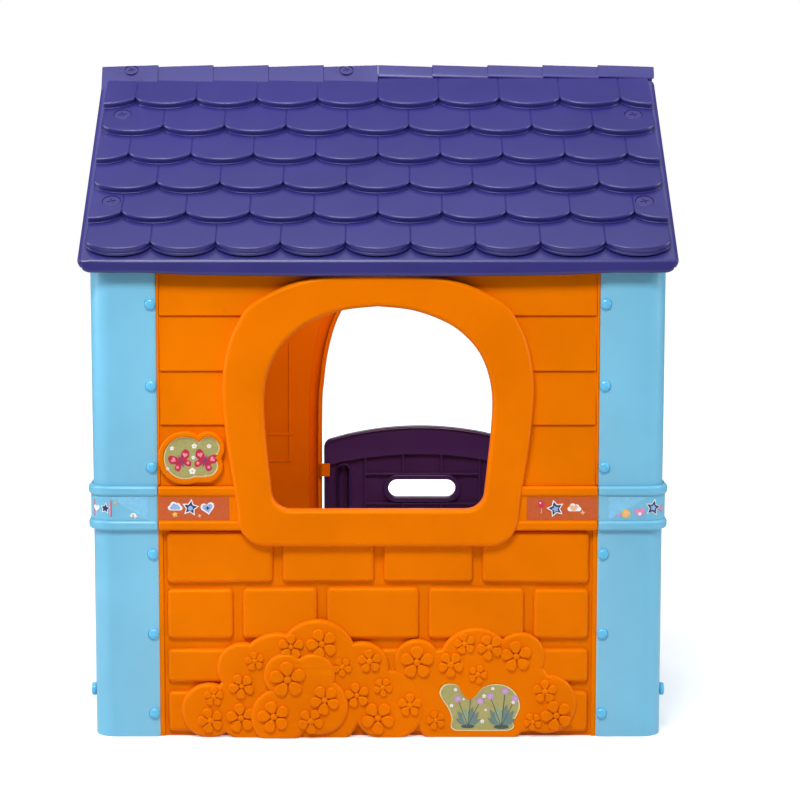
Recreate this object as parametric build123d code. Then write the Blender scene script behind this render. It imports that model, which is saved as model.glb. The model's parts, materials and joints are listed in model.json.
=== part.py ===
from build123d import *
import os
from math import atan, cos, degrees, radians, tan

# A plastic playhouse that a child stands in: a window wall and a door wall snapped between two gable
# walls, a pediment on each gable wall, two tiled roof panels and a half door on two hinge pins.
# Millimetres. X runs along the ridge, the window wall faces -Y, Z is up, and the origin is on the
# ground under the middle of the house.

# ---- Overall sizes
body_length = 1050        # over the gable walls' outer faces
body_depth = 800          # over the gable walls' front and rear returns
wall_height = 861         # ground to the top of the gable walls, level with the eaves
roof_pitch = 39           # degrees from level
gable_overhang = 17.5     # roof beyond each gable wall
eave_overhang = 25        # roof beyond the window wall and the door wall

# ---- Shells and clearances
skin = 4                  # moulded wall thickness of the walls and the door
roof_skin = 4
joint_gap = 0.4           # between the panels that snap together
running_gap = 0.05        # radial, pin in the door's barrel and in the lugs
print_thickness = 0.4     # printed film of the stickers
film_inset = 1.5          # film edge to the edge of its recess

# ---- Gable walls
corner_radius = 38
corner_return = 122       # how far a gable wall wraps round onto the front and the back
gable_window_half = 150
gable_window_sill = 530
gable_window_shoulder = 672
gable_window_crown = 748
gable_frame_band = 46
gable_frame_rise = 10     # frame proud of the wall
gable_shoulder_share = 0.6   # half width at the shoulders over the half width
gable_crown_rise = 12     # crown above the shoulders
gable_bulge = 20
gable_foot_radius = 24
gable_inset = 7           # sunk field under the brick and plank relief
gable_field_half = 320    # half the width of the sunk field
field_foot = 12           # sunk field's foot above the ground
field_border = 8          # sunk field to the belt, to the top edge and to its first brick
plug_radius = 12
plug_shoulder = 4         # plug's cap beyond its stem
plug_rise = 9
plug_round = 3
plug_height = 80          # plug centre above the ground
plug_setback = 45         # plug centre behind the corner's face

# ---- Window wall and door wall
panel_setback = 10        # panel skin behind the gable walls' returns
flange_lap = 27           # hidden flange behind a return
flange_joggle = 8         # width of the step from the panel to its flange
plank_seams = [582, 681, 782]
plank_lift = 25           # planks' top above the gable walls' top, hidden by the roof's lip
plank_slope = 5           # how far a plank leans back from its lower edge
belt_bottom = 388
belt_top = 470
belt_roll = 18            # height of each of the belt's two rolls
belt_rise = 5             # flat of the belt proud of the returns
roll_rise = 9             # rolls proud of the returns
roll_radius = 3.5

# ---- Bricks: courses from the top, as bottom, top and mortar joints in halves of the panel
brick_courses = [
    (288, 385, [-0.458, 0.004, 0.454]),
    (184, 278, [-0.641, -0.256, 0.208, 0.689]),
    (102, 166, [-0.50, -0.02, 0.40]),
    (9, 86, [-0.62, -0.10, 0.30, 0.74]),
]
brick_joint = 16
brick_margin = 14         # panel edge to the first brick
brick_round = 6

# ---- Window in the window wall
window_sill = 428
window_foot_half = 194
window_belly_half = 211
window_belly = 628        # height where the opening is widest
window_shoulder_half = 123
window_shoulder = 771
window_crown = 800
window_bulge = 22         # shoulder arc's bulge
window_foot_radius = 34
window_band = 71          # frame's width at its sides and foot
window_band_top = 59
window_foot_share = 0.79  # how far the frame's outline moves at its foot, over its width
window_belly_share = 0.3
shoulder_share = 0.76
window_shoulder_rise = 1.17
frame_rise = 16           # frame proud of the returns
frame_step = 4            # step in from the frame's sides to its front face

# ---- Doorway and half door
doorway_half = 218
doorway_margin = 89       # doorway's edge to the edge of the wall panel
doorway_sill = 30
doorway_belly = 530
doorway_shoulder_half = 128
doorway_shoulder = 786
doorway_crown = 812
doorway_bulge = 26
doorway_band = 62
doorway_band_top = 46
doorway_rise = 12
doorway_shoulder_rise = 1.1
door_gap = 4
door_thickness = 24
door_corner = 447         # door's height at its sides
door_crown = 479
door_corner_radius = 20
door_edge_radius = 5
door_band = 62            # smooth band under the door's top edge
door_band_setback = 8     # band behind the door's inner edge
door_rib = 3
door_rib_setback = 9
door_first_rib = 124      # door's centre to its last upright rib
door_ribs_upright = 4
door_rib_step = 83.5
door_cross_ribs = [372, 307, 225, 140]
slot_length = 147
slot_height = 39
slot_centre_height = 341
slot_rim = 11
slot_rim_setback = 6
slot_rim_rise = 2
handle_width = 32
handle_length = 132
handle_top = 398
handle_inset = 43         # door's edge to the handle's centre
handle_rise = 15
handle_round = 9
stop_tab = (17, 29, 5)    # width, height and thickness
stop_tab_height = 369     # foot of the tab above the ground
barrel_shoulder = 2       # door's top corner above the hinge barrel's fill

# ---- Hinge
pin_radius = 4
pin_head_radius = 7
pin_head_height = 3
lug_height = 24
lug_play = 1.0            # above and below each lug
lug_centres = [102, 392]
hinge_centre_back = 5     # hinge line behind the returns' outer face
pin_reach = 20            # pin past its lug, into the door's barrel

# ---- Bushes: lobes as x, z, radius; and how far each bush stands out from the returns
large_bush = [(-312, 50, 52), (-250, 130, 48), (-185, 125, 72), (-112, 150, 72), (-30, 128, 52),
              (20, 60, 68), (-120, 60, 90), (-235, 60, 70)]
small_bush = [(-170, 118, 42), (-120, 118, 42), (-182, 40, 54), (-108, 60, 54), (-150, 80, 50)]
right_bush = [(72, 140, 44), (120, 100, 66), (180, 138, 68), (262, 150, 47), (250, 80, 74),
              (312, 62, 56), (130, 40, 60), (210, 50, 70)]
large_bush_rise = 8
small_bush_rise = 16
right_bush_rise = 4
petals = 5
petal_share = 0.36        # petal radius over the flower's reach
petal_rise = 3
# flowers as x, z, reach
large_flowers = [(-227, 145, 18), (-160, 172, 24), (-103, 177, 29), (-66, 134, 18), (-15, 145, 22),
                 (-251, 98, 24), (-303, 78, 18), (-309, 33, 24), (9, 96, 18), (-39, 81, 24),
                 (0, 38, 31), (59, 62, 24)]
small_flowers = [(-166, 112, 34), (-98, 74, 28), (-192, 42, 32), (-124, 34, 24)]
right_flowers = [(72, 142, 31), (134, 138, 24), (160, 177, 20), (206, 170, 24), (255, 153, 29),
                 (184, 119, 18), (107, 33, 18), (308, 87, 22), (286, 30, 17), (330, 42, 29)]

# ---- Picture recesses
picture_depth = 1.5
emblem_lobes = [(51, 522, 49), (94, 541, 30), (91, 508, 30)]   # from the panel's left edge
emblem_foot = (37, 105, 477)      # left, right and foot of the straight part
emblem_middle = 500
emblem_rim = 9
emblem_rise = 7
garden_corner_radius = 5

# ---- Snap rivets
rivet_heights = [44, 194, 343, 504, 654, wall_height - 58]
rivet_inset = 10          # rivet line outside the panel joint
rivet_head_radius = 10
rivet_head_rise = 5
rivet_shaft_radius = 4
rivet_tail = 3            # past the hidden flange
rivet_clearance = 0.2
pad_height = 26
pad_width = 15
pad_rise = 1.5

# ---- Roof panels
eave_depth = 23           # eave's lower edge below the plane of the tile cusps
tile_rows = 6
tile_row_step = 83.4      # along the slope
first_cusp = 86.1         # from the ridge, along the slope
tiles_across = 9
tile_margin = 14
tile_drop = 24            # scallop below its cusps
tile_relief = 8           # cusp plane above the panel's base
gable_lip = 35            # lip under each gable edge, square to the slope
lip_thickness = 5
gable_rim = 13            # width of the raised rim along each gable edge
gable_rim_rise = 1.5
ridge_foot = 42           # half the ridge cap's spread
ridge_lean = 53           # degrees of the ridge cap's sides
ridge_round = 5
flap_thickness = 6
flap_reach = 16           # flap past the ridge, over the other panel
ridge_tiles = 5           # on each panel's half of the ridge
ridge_step = 4
roof_gap = 0.5            # between the two panels, and under the roof

# ---- Roof and pediment screws
screw_head_radius = 16.5
screw_head_height = 3
screw_seat = 3.5
screw_radius = 4
screw_clearance = 0.3
screw_boss = 20
screw_inset = 51.5        # gable edge to the screw line
roof_screw_reaches = [137.7, 393.7]
screw_length = 24
ridge_screw_inset = 58.5  # gable edge to the outer ridge screw
ridge_screw_middle = 61   # from the middle of the ridge to the inner one
ridge_screw_offset = 5
ridge_screw_head_radius = 13
ridge_screw_floor = 8     # seat below the ridge cap's top
ridge_screw_length = 22

# ---- Pediments
pediment_flange = 60      # ledge under the roof that takes the roof screws
tongue_depth = 26         # behind the gable wall's top edge
pediment_screw_inset = 100   # outer screws from the wall's corners
pediment_web = 7
pediment_border = 26      # round the pediment's sunk field
pediment_field_foot = 22
pediment_field_depth = 4
tongue_inset = 20         # tongue's ends from the pediment's
pediment_screw_drop = 13
pediment_screw_head = 7

# ---- Worked-out sizes
half_length = body_length / 2
half_depth = body_depth / 2
panel_half = half_length - corner_return
panel_face = half_depth - panel_setback          # outer face of the panel's skin
panel_back = panel_face - skin
roof_half = half_length + gable_overhang
eave_half = half_depth + eave_overhang
slope = tan(radians(roof_pitch))
lean = cos(radians(roof_pitch))
cusp_ridge = wall_height + eave_depth + slope * eave_half   # cusp plane, carried up to the ridge line
under_ridge = cusp_ridge - (tile_relief + roof_skin) / lean
ridge_rise = tan(radians(ridge_lean))
ridge_peak = cusp_ridge - slope * ridge_foot + ridge_rise * ridge_foot
doorway_centre = doorway_half + doorway_margin - panel_half  # in the door wall's own drawing, from outside
hinge_y = half_depth - hinge_centre_back
hinge_x = doorway_centre - doorway_half + door_gap + door_thickness / 2
door_half = doorway_half - door_gap
rivet_line = panel_half + rivet_inset
plank_top = wall_height + plank_lift
ridge_screw_places = [ridge_screw_inset - roof_half, -ridge_screw_middle]
pediment_screw_places = [pediment_screw_inset - half_depth, 0, half_depth - pediment_screw_inset]


# ---- Drawing helpers. Walls are drawn in X and Z as seen from outside, facing -Y.

def slab(drawing, near, far):
    """Extrudes a drawing from y = -near out to y = -far."""
    return Pos(0, -near, 0) * extrude(Plane.XZ * drawing, far - near)


def block(x0, x1, near, far, z0, z1):
    """A box from y = -near out to y = -far."""
    return Pos((x0 + x1) / 2, -(near + far) / 2, (z0 + z1) / 2) * Box(x1 - x0, far - near, z1 - z0)


def bar(points, half):
    """A section drawn as (distance out, height), run along X to both sides."""
    section = make_face(Polyline([(-out, height) for out, height in points], close=True))
    return extrude(Plane.YZ * section, half, both=True)


def bulged(start, end, bulge):
    """An arc from start to end that bulges to the right of its direction."""
    run = Vector(*end) - Vector(*start)
    side = Vector(run.Y, -run.X).normalized()
    return ThreePointArc(start, (Vector(*start) + Vector(*end)) / 2 + side * bulge, end)


def arch(foot_half, foot, belly_half, belly, shoulder_half, shoulder, crown, bulge, foot_radius):
    """An opening or frame outline: straight sides, round shoulders and a shallow crown."""
    with BuildSketch() as drawing:
        with BuildLine():
            Line((-foot_half, foot), (foot_half, foot))
            Line((foot_half, foot), (belly_half, belly))
            bulged((belly_half, belly), (shoulder_half, shoulder), bulge)
            ThreePointArc((shoulder_half, shoulder), (0, crown), (-shoulder_half, shoulder))
            bulged((-shoulder_half, shoulder), (-belly_half, belly), bulge)
            Line((-belly_half, belly), (-foot_half, foot))
        make_face()
        if foot_radius:
            fillet(drawing.vertices().group_by(Axis.Y)[0], foot_radius)
    return drawing.sketch


def lobes(circles, shrink=0.0):
    """A cloud-like outline: round lobes run together."""
    drawing = Sketch()
    for x, z, radius in circles:
        drawing += Pos(x, z) * Circle(radius - shrink)
    return drawing


def above_ground(drawing, floor=0.0):
    reach = body_length + wall_height
    return drawing & Pos(0, floor + reach / 2) * Rectangle(reach, reach)


def bush(circles, rise, picture=None):
    """A raised bush, hollow from behind."""
    outline = above_ground(lobes(circles))
    shell = slab(outline, panel_back, half_depth + rise)
    hollow = above_ground(lobes(circles, 2 * skin), 2 * skin)
    if picture:
        hollow -= picture
    return shell, slab(hollow, panel_back, half_depth + rise - skin)


def flowers(places, rise):
    """Five-petal flowers standing on a bush."""
    drawing = Sketch()
    for x, z, reach in places:
        petal = petal_share * reach
        ring = PolarLocations(reach - petal, petals, start_angle=90)
        drawing += Pos(x, z) * (Sketch() + [place * Circle(petal) for place in ring] + Circle(petal))
    return slab(drawing, half_depth + rise - 1, half_depth + rise + petal_rise)


def rounded_brick(x0, x1, z0, z1, near, far):
    brick = block(x0, x1, near, far, z0, z1)
    face = brick.faces().sort_by(Axis.Y)[0]
    return fillet(list(face.edges()) + list(brick.edges().filter_by(Axis.Y)), brick_round)


def brick_course(course, half, near, far):
    """One course as its solid bricks and the hollows behind them."""
    bottom, top, joints = course
    stops = [-half + brick_margin - brick_joint / 2] + [half * joint for joint in joints]
    stops.append(half - brick_margin + brick_joint / 2)
    bricks = []
    hollows = []
    for left, right in zip(stops, stops[1:]):
        x0 = left + brick_joint / 2
        x1 = right - brick_joint / 2
        bricks.append(rounded_brick(x0, x1, bottom, top, near, far))
        hollows.append(block(x0 + 2 * skin, x1 - 2 * skin, near, far - skin,
                             bottom + 2 * skin, top - 2 * skin))
    return bricks, hollows


# ---- The two long walls

def plank_section(far):
    """Lap siding with a flat back: every plank stands proud at its lower edge."""
    edges = [belt_top - skin] + plank_seams + [plank_top]
    outer = []
    for low, high in zip(edges, edges[1:]):
        outer += [(far, low), (far - plank_slope, high)]
    back = far - plank_slope - skin
    return outer + [(back, plank_top), (back, edges[0])]


def belt_bar(half):
    """The belt across a wall: two rolls with a flat for the printed strip between them."""
    flat = half_depth + belt_rise
    proud = half_depth + roll_rise
    section = [(panel_back, belt_bottom), (proud, belt_bottom), (proud, belt_bottom + belt_roll),
               (flat, belt_bottom + belt_roll), (flat, belt_top - belt_roll),
               (proud, belt_top - belt_roll), (proud, belt_top), (panel_back, belt_top)]
    solid = bar(section, half)
    rolls = [edge for edge in solid.edges().filter_by(Axis.X) if abs(edge.center().Y + proud) < 0.01]
    solid = fillet(rolls, roll_radius)
    return solid - block(-half - 1, half + 1, panel_back - 1, flat - skin,
                         belt_bottom + skin, belt_top - skin)


def long_wall(courses):
    """What the window wall and the door wall share, and the hollows behind their bricks."""
    half = panel_half - joint_gap
    wall = block(-half, half, panel_back, panel_face, 0, belt_bottom + skin)
    wall += bar(plank_section(half_depth - 1), half)
    wall += belt_bar(half)
    hollows = []
    for course in courses:
        bricks, backs = brick_course(course, panel_half, panel_back, half_depth)
        wall += bricks
        hollows += backs
    flange_far = half_depth - skin - joint_gap
    for side in (-1, 1):
        inside = side * (half - flange_joggle)
        edge = side * half
        outside = side * (half + flange_lap)
        step = block(min(inside, edge), max(inside, edge), panel_back, flange_far, 0, wall_height)
        flange = block(min(inside, outside), max(inside, outside), flange_far - skin, flange_far,
                       0, wall_height)
        wall += step + flange
        hollows += [rivet_hole(side * rivet_line, height) for height in rivet_heights]
    return wall, hollows


def rivet_hole(x, z):
    return slab(Pos(x, z) * Circle(rivet_shaft_radius + rivet_clearance), 0, half_depth + roll_rise)


def window_outline(band=0.0, top=0.0):
    return arch(window_foot_half + band * window_foot_share, window_sill - band,
                window_belly_half + band, window_belly + band * window_belly_share,
                window_shoulder_half + band * shoulder_share,
                window_shoulder + top * window_shoulder_rise, window_crown + top, window_bulge,
                window_foot_radius)


def frame_ring(outline, band, top, rise):
    """A frame round an opening, its front face stepped in all round, with a channel along its back."""
    step = half_depth + rise - frame_step
    ring = slab(outline(band, top) - outline(), panel_back, step)
    ring += slab(outline(band - frame_step, top - frame_step) - outline(frame_step, frame_step), step,
                 half_depth + rise)
    channel = slab(outline(band - 2 * skin, top - 2 * skin) - outline(2 * skin, 2 * skin), panel_back,
                   step - skin)
    return ring, channel


def garden_picture():
    """Outline of the sunk picture low on the right bush."""
    with BuildSketch() as drawing:
        with BuildLine():
            Polyline((173, 76), (151, 101), (116, 99), (128, 50), (140, 14), (257, 14), (262, 42))
            ThreePointArc((262, 42), (257, 90), (218, 106))
            Line((218, 106), (173, 76))
        make_face()
        fillet(drawing.vertices(), garden_corner_radius)
    return drawing.sketch


def emblem(shrink):
    """The two-lobed cloud boss beside the window, on the panel's left margin."""
    circles = [(x - panel_half, z, radius) for x, z, radius in emblem_lobes]
    x0, x1, foot = emblem_foot
    drawing = lobes(circles, shrink)
    width = x1 - x0
    drawing += Pos((x0 + x1) / 2 - panel_half, emblem_middle) * Rectangle(
        width, 2 * (emblem_middle - foot - shrink))
    return drawing - window_outline(window_band + shrink, window_band_top + shrink)


def make_front_wall():
    wall, hollows = long_wall(brick_courses)
    garden = garden_picture()
    garden_back = offset(garden, 2 * skin)
    plans = [(large_bush, large_bush_rise, None), (right_bush, right_bush_rise, garden_back),
             (small_bush, small_bush_rise, None)]
    for circles, rise, picture in plans:
        shell, hollow = bush(circles, rise, picture)
        wall += shell
        hollows.append(hollow)
    wall += slab(emblem(0), panel_back, half_depth + emblem_rise)
    ring, channel = frame_ring(window_outline, window_band, window_band_top, frame_rise)
    wall += ring
    hollows.append(channel)
    hollows.append(slab(window_outline(), panel_back - 1, half_depth + frame_rise + 1))
    wall -= hollows
    wall += flowers(large_flowers, large_bush_rise)
    wall += flowers(small_flowers, small_bush_rise)
    wall += flowers(right_flowers, right_bush_rise)
    garden_face = half_depth + right_bush_rise
    emblem_face = half_depth + emblem_rise
    wall -= slab(garden, garden_face - picture_depth, garden_face + roll_rise)
    wall -= slab(emblem(emblem_rim), emblem_face - 3 * picture_depth, emblem_face + 1)
    return wall


def make_back_wall():
    wall, hollows = long_wall(brick_courses)
    opening = doorway_outline()
    ring, channel = frame_ring(doorway_outline, doorway_band, doorway_band_top, doorway_rise)
    wall += ring
    hollows.append(channel)
    hollows.append(slab(opening, panel_back - 1, half_depth + doorway_rise + 1))
    wall -= hollows
    jamb = doorway_centre - doorway_half
    lug_out = door_thickness / 2 - lug_play
    for centre in lug_centres:
        low, high = centre - lug_height / 2, centre + lug_height / 2
        lug = block(jamb - skin, hinge_x, hinge_y - lug_out, hinge_y, low, high)
        lug += Pos(hinge_x, -hinge_y, centre) * Cylinder(lug_out, lug_height)
        wall += lug
        wall -= Pos(hinge_x, -hinge_y, centre) * Cylinder(pin_radius + running_gap, 2 * lug_height)
    width, height, thickness = stop_tab
    stop = doorway_centre + doorway_half
    door_back = hinge_y - door_thickness / 2
    wall += block(stop - width, stop + skin, door_back - joint_gap - thickness, door_back - joint_gap,
                  stop_tab_height, stop_tab_height + height)
    wall += block(stop, stop + skin, door_back - joint_gap - thickness, panel_face,
                  stop_tab_height, stop_tab_height + height)
    return Rot(0, 0, 180) * wall


def doorway_outline(band=0.0, top=0.0):
    foot = doorway_sill - min(band, doorway_sill)
    outline = arch(doorway_half + band, foot, doorway_half + band, doorway_belly,
                   doorway_shoulder_half + band * shoulder_share,
                   doorway_shoulder + top * doorway_shoulder_rise,
                   doorway_crown + top, doorway_bulge, 0)
    return Pos(doorway_centre, 0) * outline


# ---- Gable walls and pediments

def ring_wall(rise, drop):
    """The house's rounded plan outline, its outer face moved out by rise, as a face."""
    outer = RectangleRounded(body_length + 2 * rise, body_depth + 2 * rise, corner_radius + rise)
    inner = RectangleRounded(body_length - 2 * drop, body_depth - 2 * drop, corner_radius - drop)
    return outer - inner


def ring_band(rise, low, high, drop=skin):
    return Pos(0, 0, low) * extrude(ring_wall(rise, drop), high - low)


def gable_outline(band=0.0):
    half = gable_window_half + band
    return arch(half, gable_window_sill - band, half, gable_window_shoulder,
                half * gable_shoulder_share, gable_window_crown + band * shoulder_share,
                gable_window_crown + band + gable_crown_rise, gable_bulge, gable_foot_radius)


def gable_relief():
    """Bricks below the belt and planks above it, in a sunk field on the gable wall."""
    face = half_length
    sunk = face - gable_inset
    raised = []
    for bottom, top, joints in brick_courses:
        stops = [-gable_field_half - brick_joint / 2] + [gable_field_half * j for j in joints]
        stops.append(gable_field_half + brick_joint / 2)
        for left, right in zip(stops, stops[1:]):
            x0 = left + brick_joint / 2
            x1 = right - brick_joint / 2
            raised.append(rounded_brick(x0, x1, max(bottom, field_foot + field_border),
                                        top - field_border, sunk - 1, face))
    edges = [belt_top + field_border] + plank_seams
    edges.append(wall_height - tongue_depth - 2 * field_border)
    for low, high in zip(edges, edges[1:]):
        section = [(sunk - 1, low), (face, low + 1), (sunk + 1, high), (sunk - 1, high)]
        raised.append(bar(section, gable_field_half))
    return raised


def make_gable_wall():
    """The gable wall on +X. The other one is the same wall turned round."""
    shell = ring_band(0, 0, wall_height)
    shell += ring_band(roll_rise, belt_bottom, belt_bottom + belt_roll)
    shell += ring_band(roll_rise, belt_top - belt_roll, belt_top)
    shell += ring_band(belt_rise, belt_bottom + belt_roll, belt_top - belt_roll)
    shell &= Pos(panel_half + body_length / 2, 0, 0) * Box(body_length, 2 * body_depth, 3 * wall_height)
    half = gable_field_half + brick_margin
    sunk = half_length - gable_inset
    field_top = wall_height - tongue_depth - 2 * field_border
    lower = block(-half, half, sunk, half_length + 1, field_foot, belt_bottom - field_border)
    upper = block(-half, half, sunk, half_length + 1, belt_top + field_border, field_top)
    backing = block(-half - skin, half + skin, sunk - skin, half_length - 1, 0, field_top + field_border)
    turn = Rot(0, 0, 90)
    shell += turn * backing
    shell -= turn * (lower + upper)
    shell += [turn * piece for piece in gable_relief()]
    shell += turn * slab(gable_outline(gable_frame_band), sunk - skin, half_length + gable_frame_rise)
    shell -= turn * slab(gable_outline(), sunk - 2 * skin, half_length + 2 * gable_frame_rise)
    shell -= turn * slab(gable_outline(gable_frame_band - skin) - gable_outline(skin),
                         sunk - 2 * skin, half_length + gable_frame_rise - skin)
    for side in (-1, 1):
        for height in rivet_heights:
            x = rivet_line
            pad = Pos(x, height) * RectangleRounded(pad_width, pad_height, pad_width / 2 - 0.5)
            shell += mirrored(slab(pad, half_depth - skin, half_depth + pad_rise), side)
            shell -= mirrored(rivet_hole(x, height), side)
    plug_hole = Pos(plug_setback - half_depth, plug_height) * Circle(
        plug_radius - plug_shoulder + joint_gap)
    shell -= turn * slab(plug_hole, 0, half_length + 1)
    tongue_face = half_length - skin - joint_gap
    for y in pediment_screw_places:
        hole = Pos(y, wall_height - pediment_screw_drop) * Circle(screw_radius + screw_clearance)
        shell -= turn * slab(hole, tongue_face - skin, half_length - 1)
    return shell


def mirrored(piece, side):
    """Leaves a front piece where it is, or turns it to the back of the same gable wall."""
    return piece if side < 0 else piece.mirror(Plane.XZ)


def pediment_edge(y, drop):
    return under_ridge - roof_gap - drop - slope * abs(y)


def make_pediment():
    """The triangular panel over the gable wall on +X, with a ledge under the roof."""
    foot = wall_height + joint_gap
    half = half_depth - corner_radius
    def triangle(inset, floor):
        side = half - inset
        return make_face(Polyline((-side, floor), (side, floor), (side, pediment_edge(side, inset)),
                                  (0, pediment_edge(0, inset)), (-side, pediment_edge(side, inset)),
                                  close=True))
    inner = half_length - skin
    web = slab(triangle(0, foot), half_length - pediment_web, half_length)
    web -= slab(triangle(pediment_border, foot + pediment_field_foot),
                half_length - pediment_field_depth, half_length + 1)
    ledge = slab(triangle(0, foot) - triangle(roof_skin / lean, foot - 1), half_length - pediment_flange,
                 inner)
    tongue = block(tongue_inset - half, half - tongue_inset, inner - joint_gap - skin, inner - joint_gap,
                   wall_height - tongue_depth, foot + skin)
    panel = web + ledge + tongue
    for y in pediment_screw_places:
        hole = Pos(y, wall_height - pediment_screw_drop) * Circle(screw_radius + screw_clearance)
        panel -= slab(hole, inner - joint_gap - 2 * skin, inner)
    panel = Rot(0, 0, 90) * panel
    for y_side in (-1, 1):
        for reach in roof_screw_reaches:
            panel -= roof_screw_hole(roof_half - screw_inset, reach, y_side)
    return panel


# ---- Roof

def slope_frame(x, reach, side):
    """A plane on the cusp plane: X along the ridge, Z out of the roof. side is -1 on the front."""
    y = reach * lean
    out = Vector(0, side * tan(radians(roof_pitch)), 1).normalized()
    return Plane(origin=(x, side * y, cusp_ridge - slope * y), x_dir=(1, 0, 0), z_dir=out)


def roof_screw_hole(x, reach, side):
    hole = Cylinder(screw_radius + screw_clearance, 4 * screw_length)
    return slope_frame(x, reach, side).location * hole


def slope_section(points):
    """A closed section in Y and Z on the front slope, from (distance from the ridge, drop) pairs."""
    corners = [(-y, cusp_ridge - slope * y - drop / lean) for y, drop in points]
    return make_face(Polyline(corners, close=True))


def tile_row(row):
    """One row of tiles: round lower ends, leaning so that the lower ends stand proud."""
    across = 2 * (roof_half - tile_margin) / tiles_across
    shift = 0.5 if row % 2 == 0 else 0.0
    count = tiles_across + (1 if shift else 0)
    drawing = Sketch()
    for index in range(count):
        x = (index - (count - 1) / 2) * across
        drawing += Pos(x, 0) * Ellipse(across / 2 - 0.2, tile_drop)
    drawing += Pos(0, (tile_row_step + 4) / 2) * Rectangle(2 * roof_half, tile_row_step + 4)
    drawing &= Rectangle(2 * (roof_half - 2), 4 * tile_row_step)
    tilt = degrees(atan((tile_relief - 1.5) / tile_row_step))
    frame = slope_frame(0, first_cusp + row * tile_row_step, -1)
    place = frame.location * Rot(-tilt, 0, 0)
    return place * Pos(0, 0, -3 * tile_relief) * extrude(drawing, 3 * tile_relief)


def ridge_section(y0, y1, drop, floor):
    """A slice of the ridge cap from y0 to y1, from a drop below its top to a floor under the cusps."""
    steps = [y0, y1]
    top = [(y, ridge_peak - ridge_rise * abs(y) - drop) for y in steps]
    bottom = [(y, cusp_ridge - slope * abs(y) - floor) for y in reversed(steps)]
    return make_face(Polyline(top + bottom, close=True))


def make_roof_panel():
    """The front roof panel. The back panel is the same panel turned round."""
    base = tile_relief
    under = tile_relief + roof_skin
    gap = roof_gap
    deck = slope_section([(gap, base), (eave_half, base), (eave_half, under), (gap, under)])
    panel = extrude(Plane.YZ * deck, roof_half, both=True)
    eave = make_face(Polyline((-eave_half, wall_height), (lip_thickness - eave_half, wall_height),
                              (lip_thickness - eave_half, cusp_ridge - slope * eave_half - 4),
                              (-eave_half, cusp_ridge - slope * eave_half - 4), close=True))
    panel += extrude(Plane.YZ * eave, roof_half, both=True)
    tiles = [tile_row(row) for row in range(tile_rows)]
    above = slope_section([(ridge_foot - 8, -20), (eave_half, -20), (eave_half, base + 1),
                           (ridge_foot - 8, base + 1)])
    keep = extrude(Plane.YZ * above, roof_half, both=True)
    panel += (Part() + tiles) & keep
    head = flap_reach + 2 * gap
    lip = slope_section([(gap, base), (head, base), (head, -gable_rim_rise),
                         (eave_half, -gable_rim_rise), (eave_half, eave_depth * lean),
                         (eave_half - 30, under + gable_lip), (gap, under + gable_lip)])
    rim = slope_section([(head, -gable_rim_rise), (eave_half, -gable_rim_rise), (eave_half, base + 1),
                         (head, base + 1)])
    for side in (-1, 1):
        middle = side * (roof_half - lip_thickness / 2)
        panel += Pos(middle, 0, 0) * extrude(Plane.YZ * lip, lip_thickness / 2, both=True)
        middle = side * (roof_half - gable_rim / 2)
        panel += Pos(middle, 0, 0) * extrude(Plane.YZ * rim, gable_rim / 2, both=True)
    seat = ridge_section(-ridge_foot, -gap, flap_thickness + ridge_step + gap, base + 1)
    panel += extrude(Plane.YZ * seat, roof_half, both=True)
    panel += ridge_flap()
    for x_side in (-1, 1):
        for reach in roof_screw_reaches:
            x = x_side * (roof_half - screw_inset)
            frame = slope_frame(x, reach, -1).location
            panel += frame * Pos(0, 0, -base) * Cylinder(screw_boss, 2 * base + 2)
            panel -= frame * Pos(0, 0, 1 - screw_seat / 2 + 1) * Cylinder(
                screw_head_radius + screw_clearance, screw_seat + 2)
            panel -= roof_screw_hole(x, reach, -1)
    panel -= roof_underside_cut(under)
    panel -= [tile_hollow(row, under) for row in range(tile_rows)]
    for x in ridge_screw_places:
        panel -= ridge_screw_pocket(x, ridge_screw_offset)
        panel -= ridge_screw_pocket(-x, -ridge_screw_offset)
    return panel


def roof_underside_cut(under):
    """Clears the space under the deck of what the screw bosses leave there, up to the lips."""
    space = slope_section([(0, under), (eave_half - lip_thickness, under),
                           (eave_half - lip_thickness, under + 60), (0, under + 60)])
    return extrude(Plane.YZ * space, roof_half - gable_rim, both=True)


def tile_hollow(row, under):
    """The wedge left open behind a row of tiles, so that the panel is one skin thick."""
    cusp = (first_cusp + row * tile_row_step) * lean
    start = cusp - (tile_row_step - 2 * roof_skin) * lean
    wedge = slope_section([(start, under), (cusp, roof_skin + 1), (cusp, under + 1), (start, under + 1)])
    return extrude(Plane.YZ * wedge, roof_half - 2 * screw_inset, both=True)


def ridge_flap():
    """Half of the ridge cap: its own tiles, lapped over the other panel past the ridge line."""
    width = (roof_half - joint_gap) / ridge_tiles
    tilt = degrees(atan(ridge_step / width))
    near = ridge_section(-ridge_foot, 0.0, 0.0, tile_relief + 1)
    far = make_face(Polyline((0, ridge_peak), (flap_reach, ridge_peak - ridge_rise * flap_reach),
                             (flap_reach, ridge_peak - ridge_rise * flap_reach - flap_thickness),
                             (0, ridge_peak - flap_thickness), close=True))
    tile = extrude(Plane.YZ * (near + far), width)
    crest = [edge for edge in tile.edges().filter_by(Axis.X) if edge.center().Z > ridge_peak - 1]
    tile = fillet(crest, ridge_round)
    pivot = Pos(width, 0, ridge_peak - ridge_round)
    tile = pivot * Rot(0, -tilt, 0) * pivot.inverse() * tile
    cap = Part() + [Pos(index * width - roof_half, 0, 0) * tile for index in range(ridge_tiles)]
    length = roof_half - joint_gap / 2
    return cap & Pos(-roof_half + length / 2, 0, ridge_peak) * Box(length, 4 * ridge_foot, ridge_peak)


def ridge_top():
    return ridge_peak - ridge_round * (1 / cos(radians(ridge_lean)) - 1)


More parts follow.
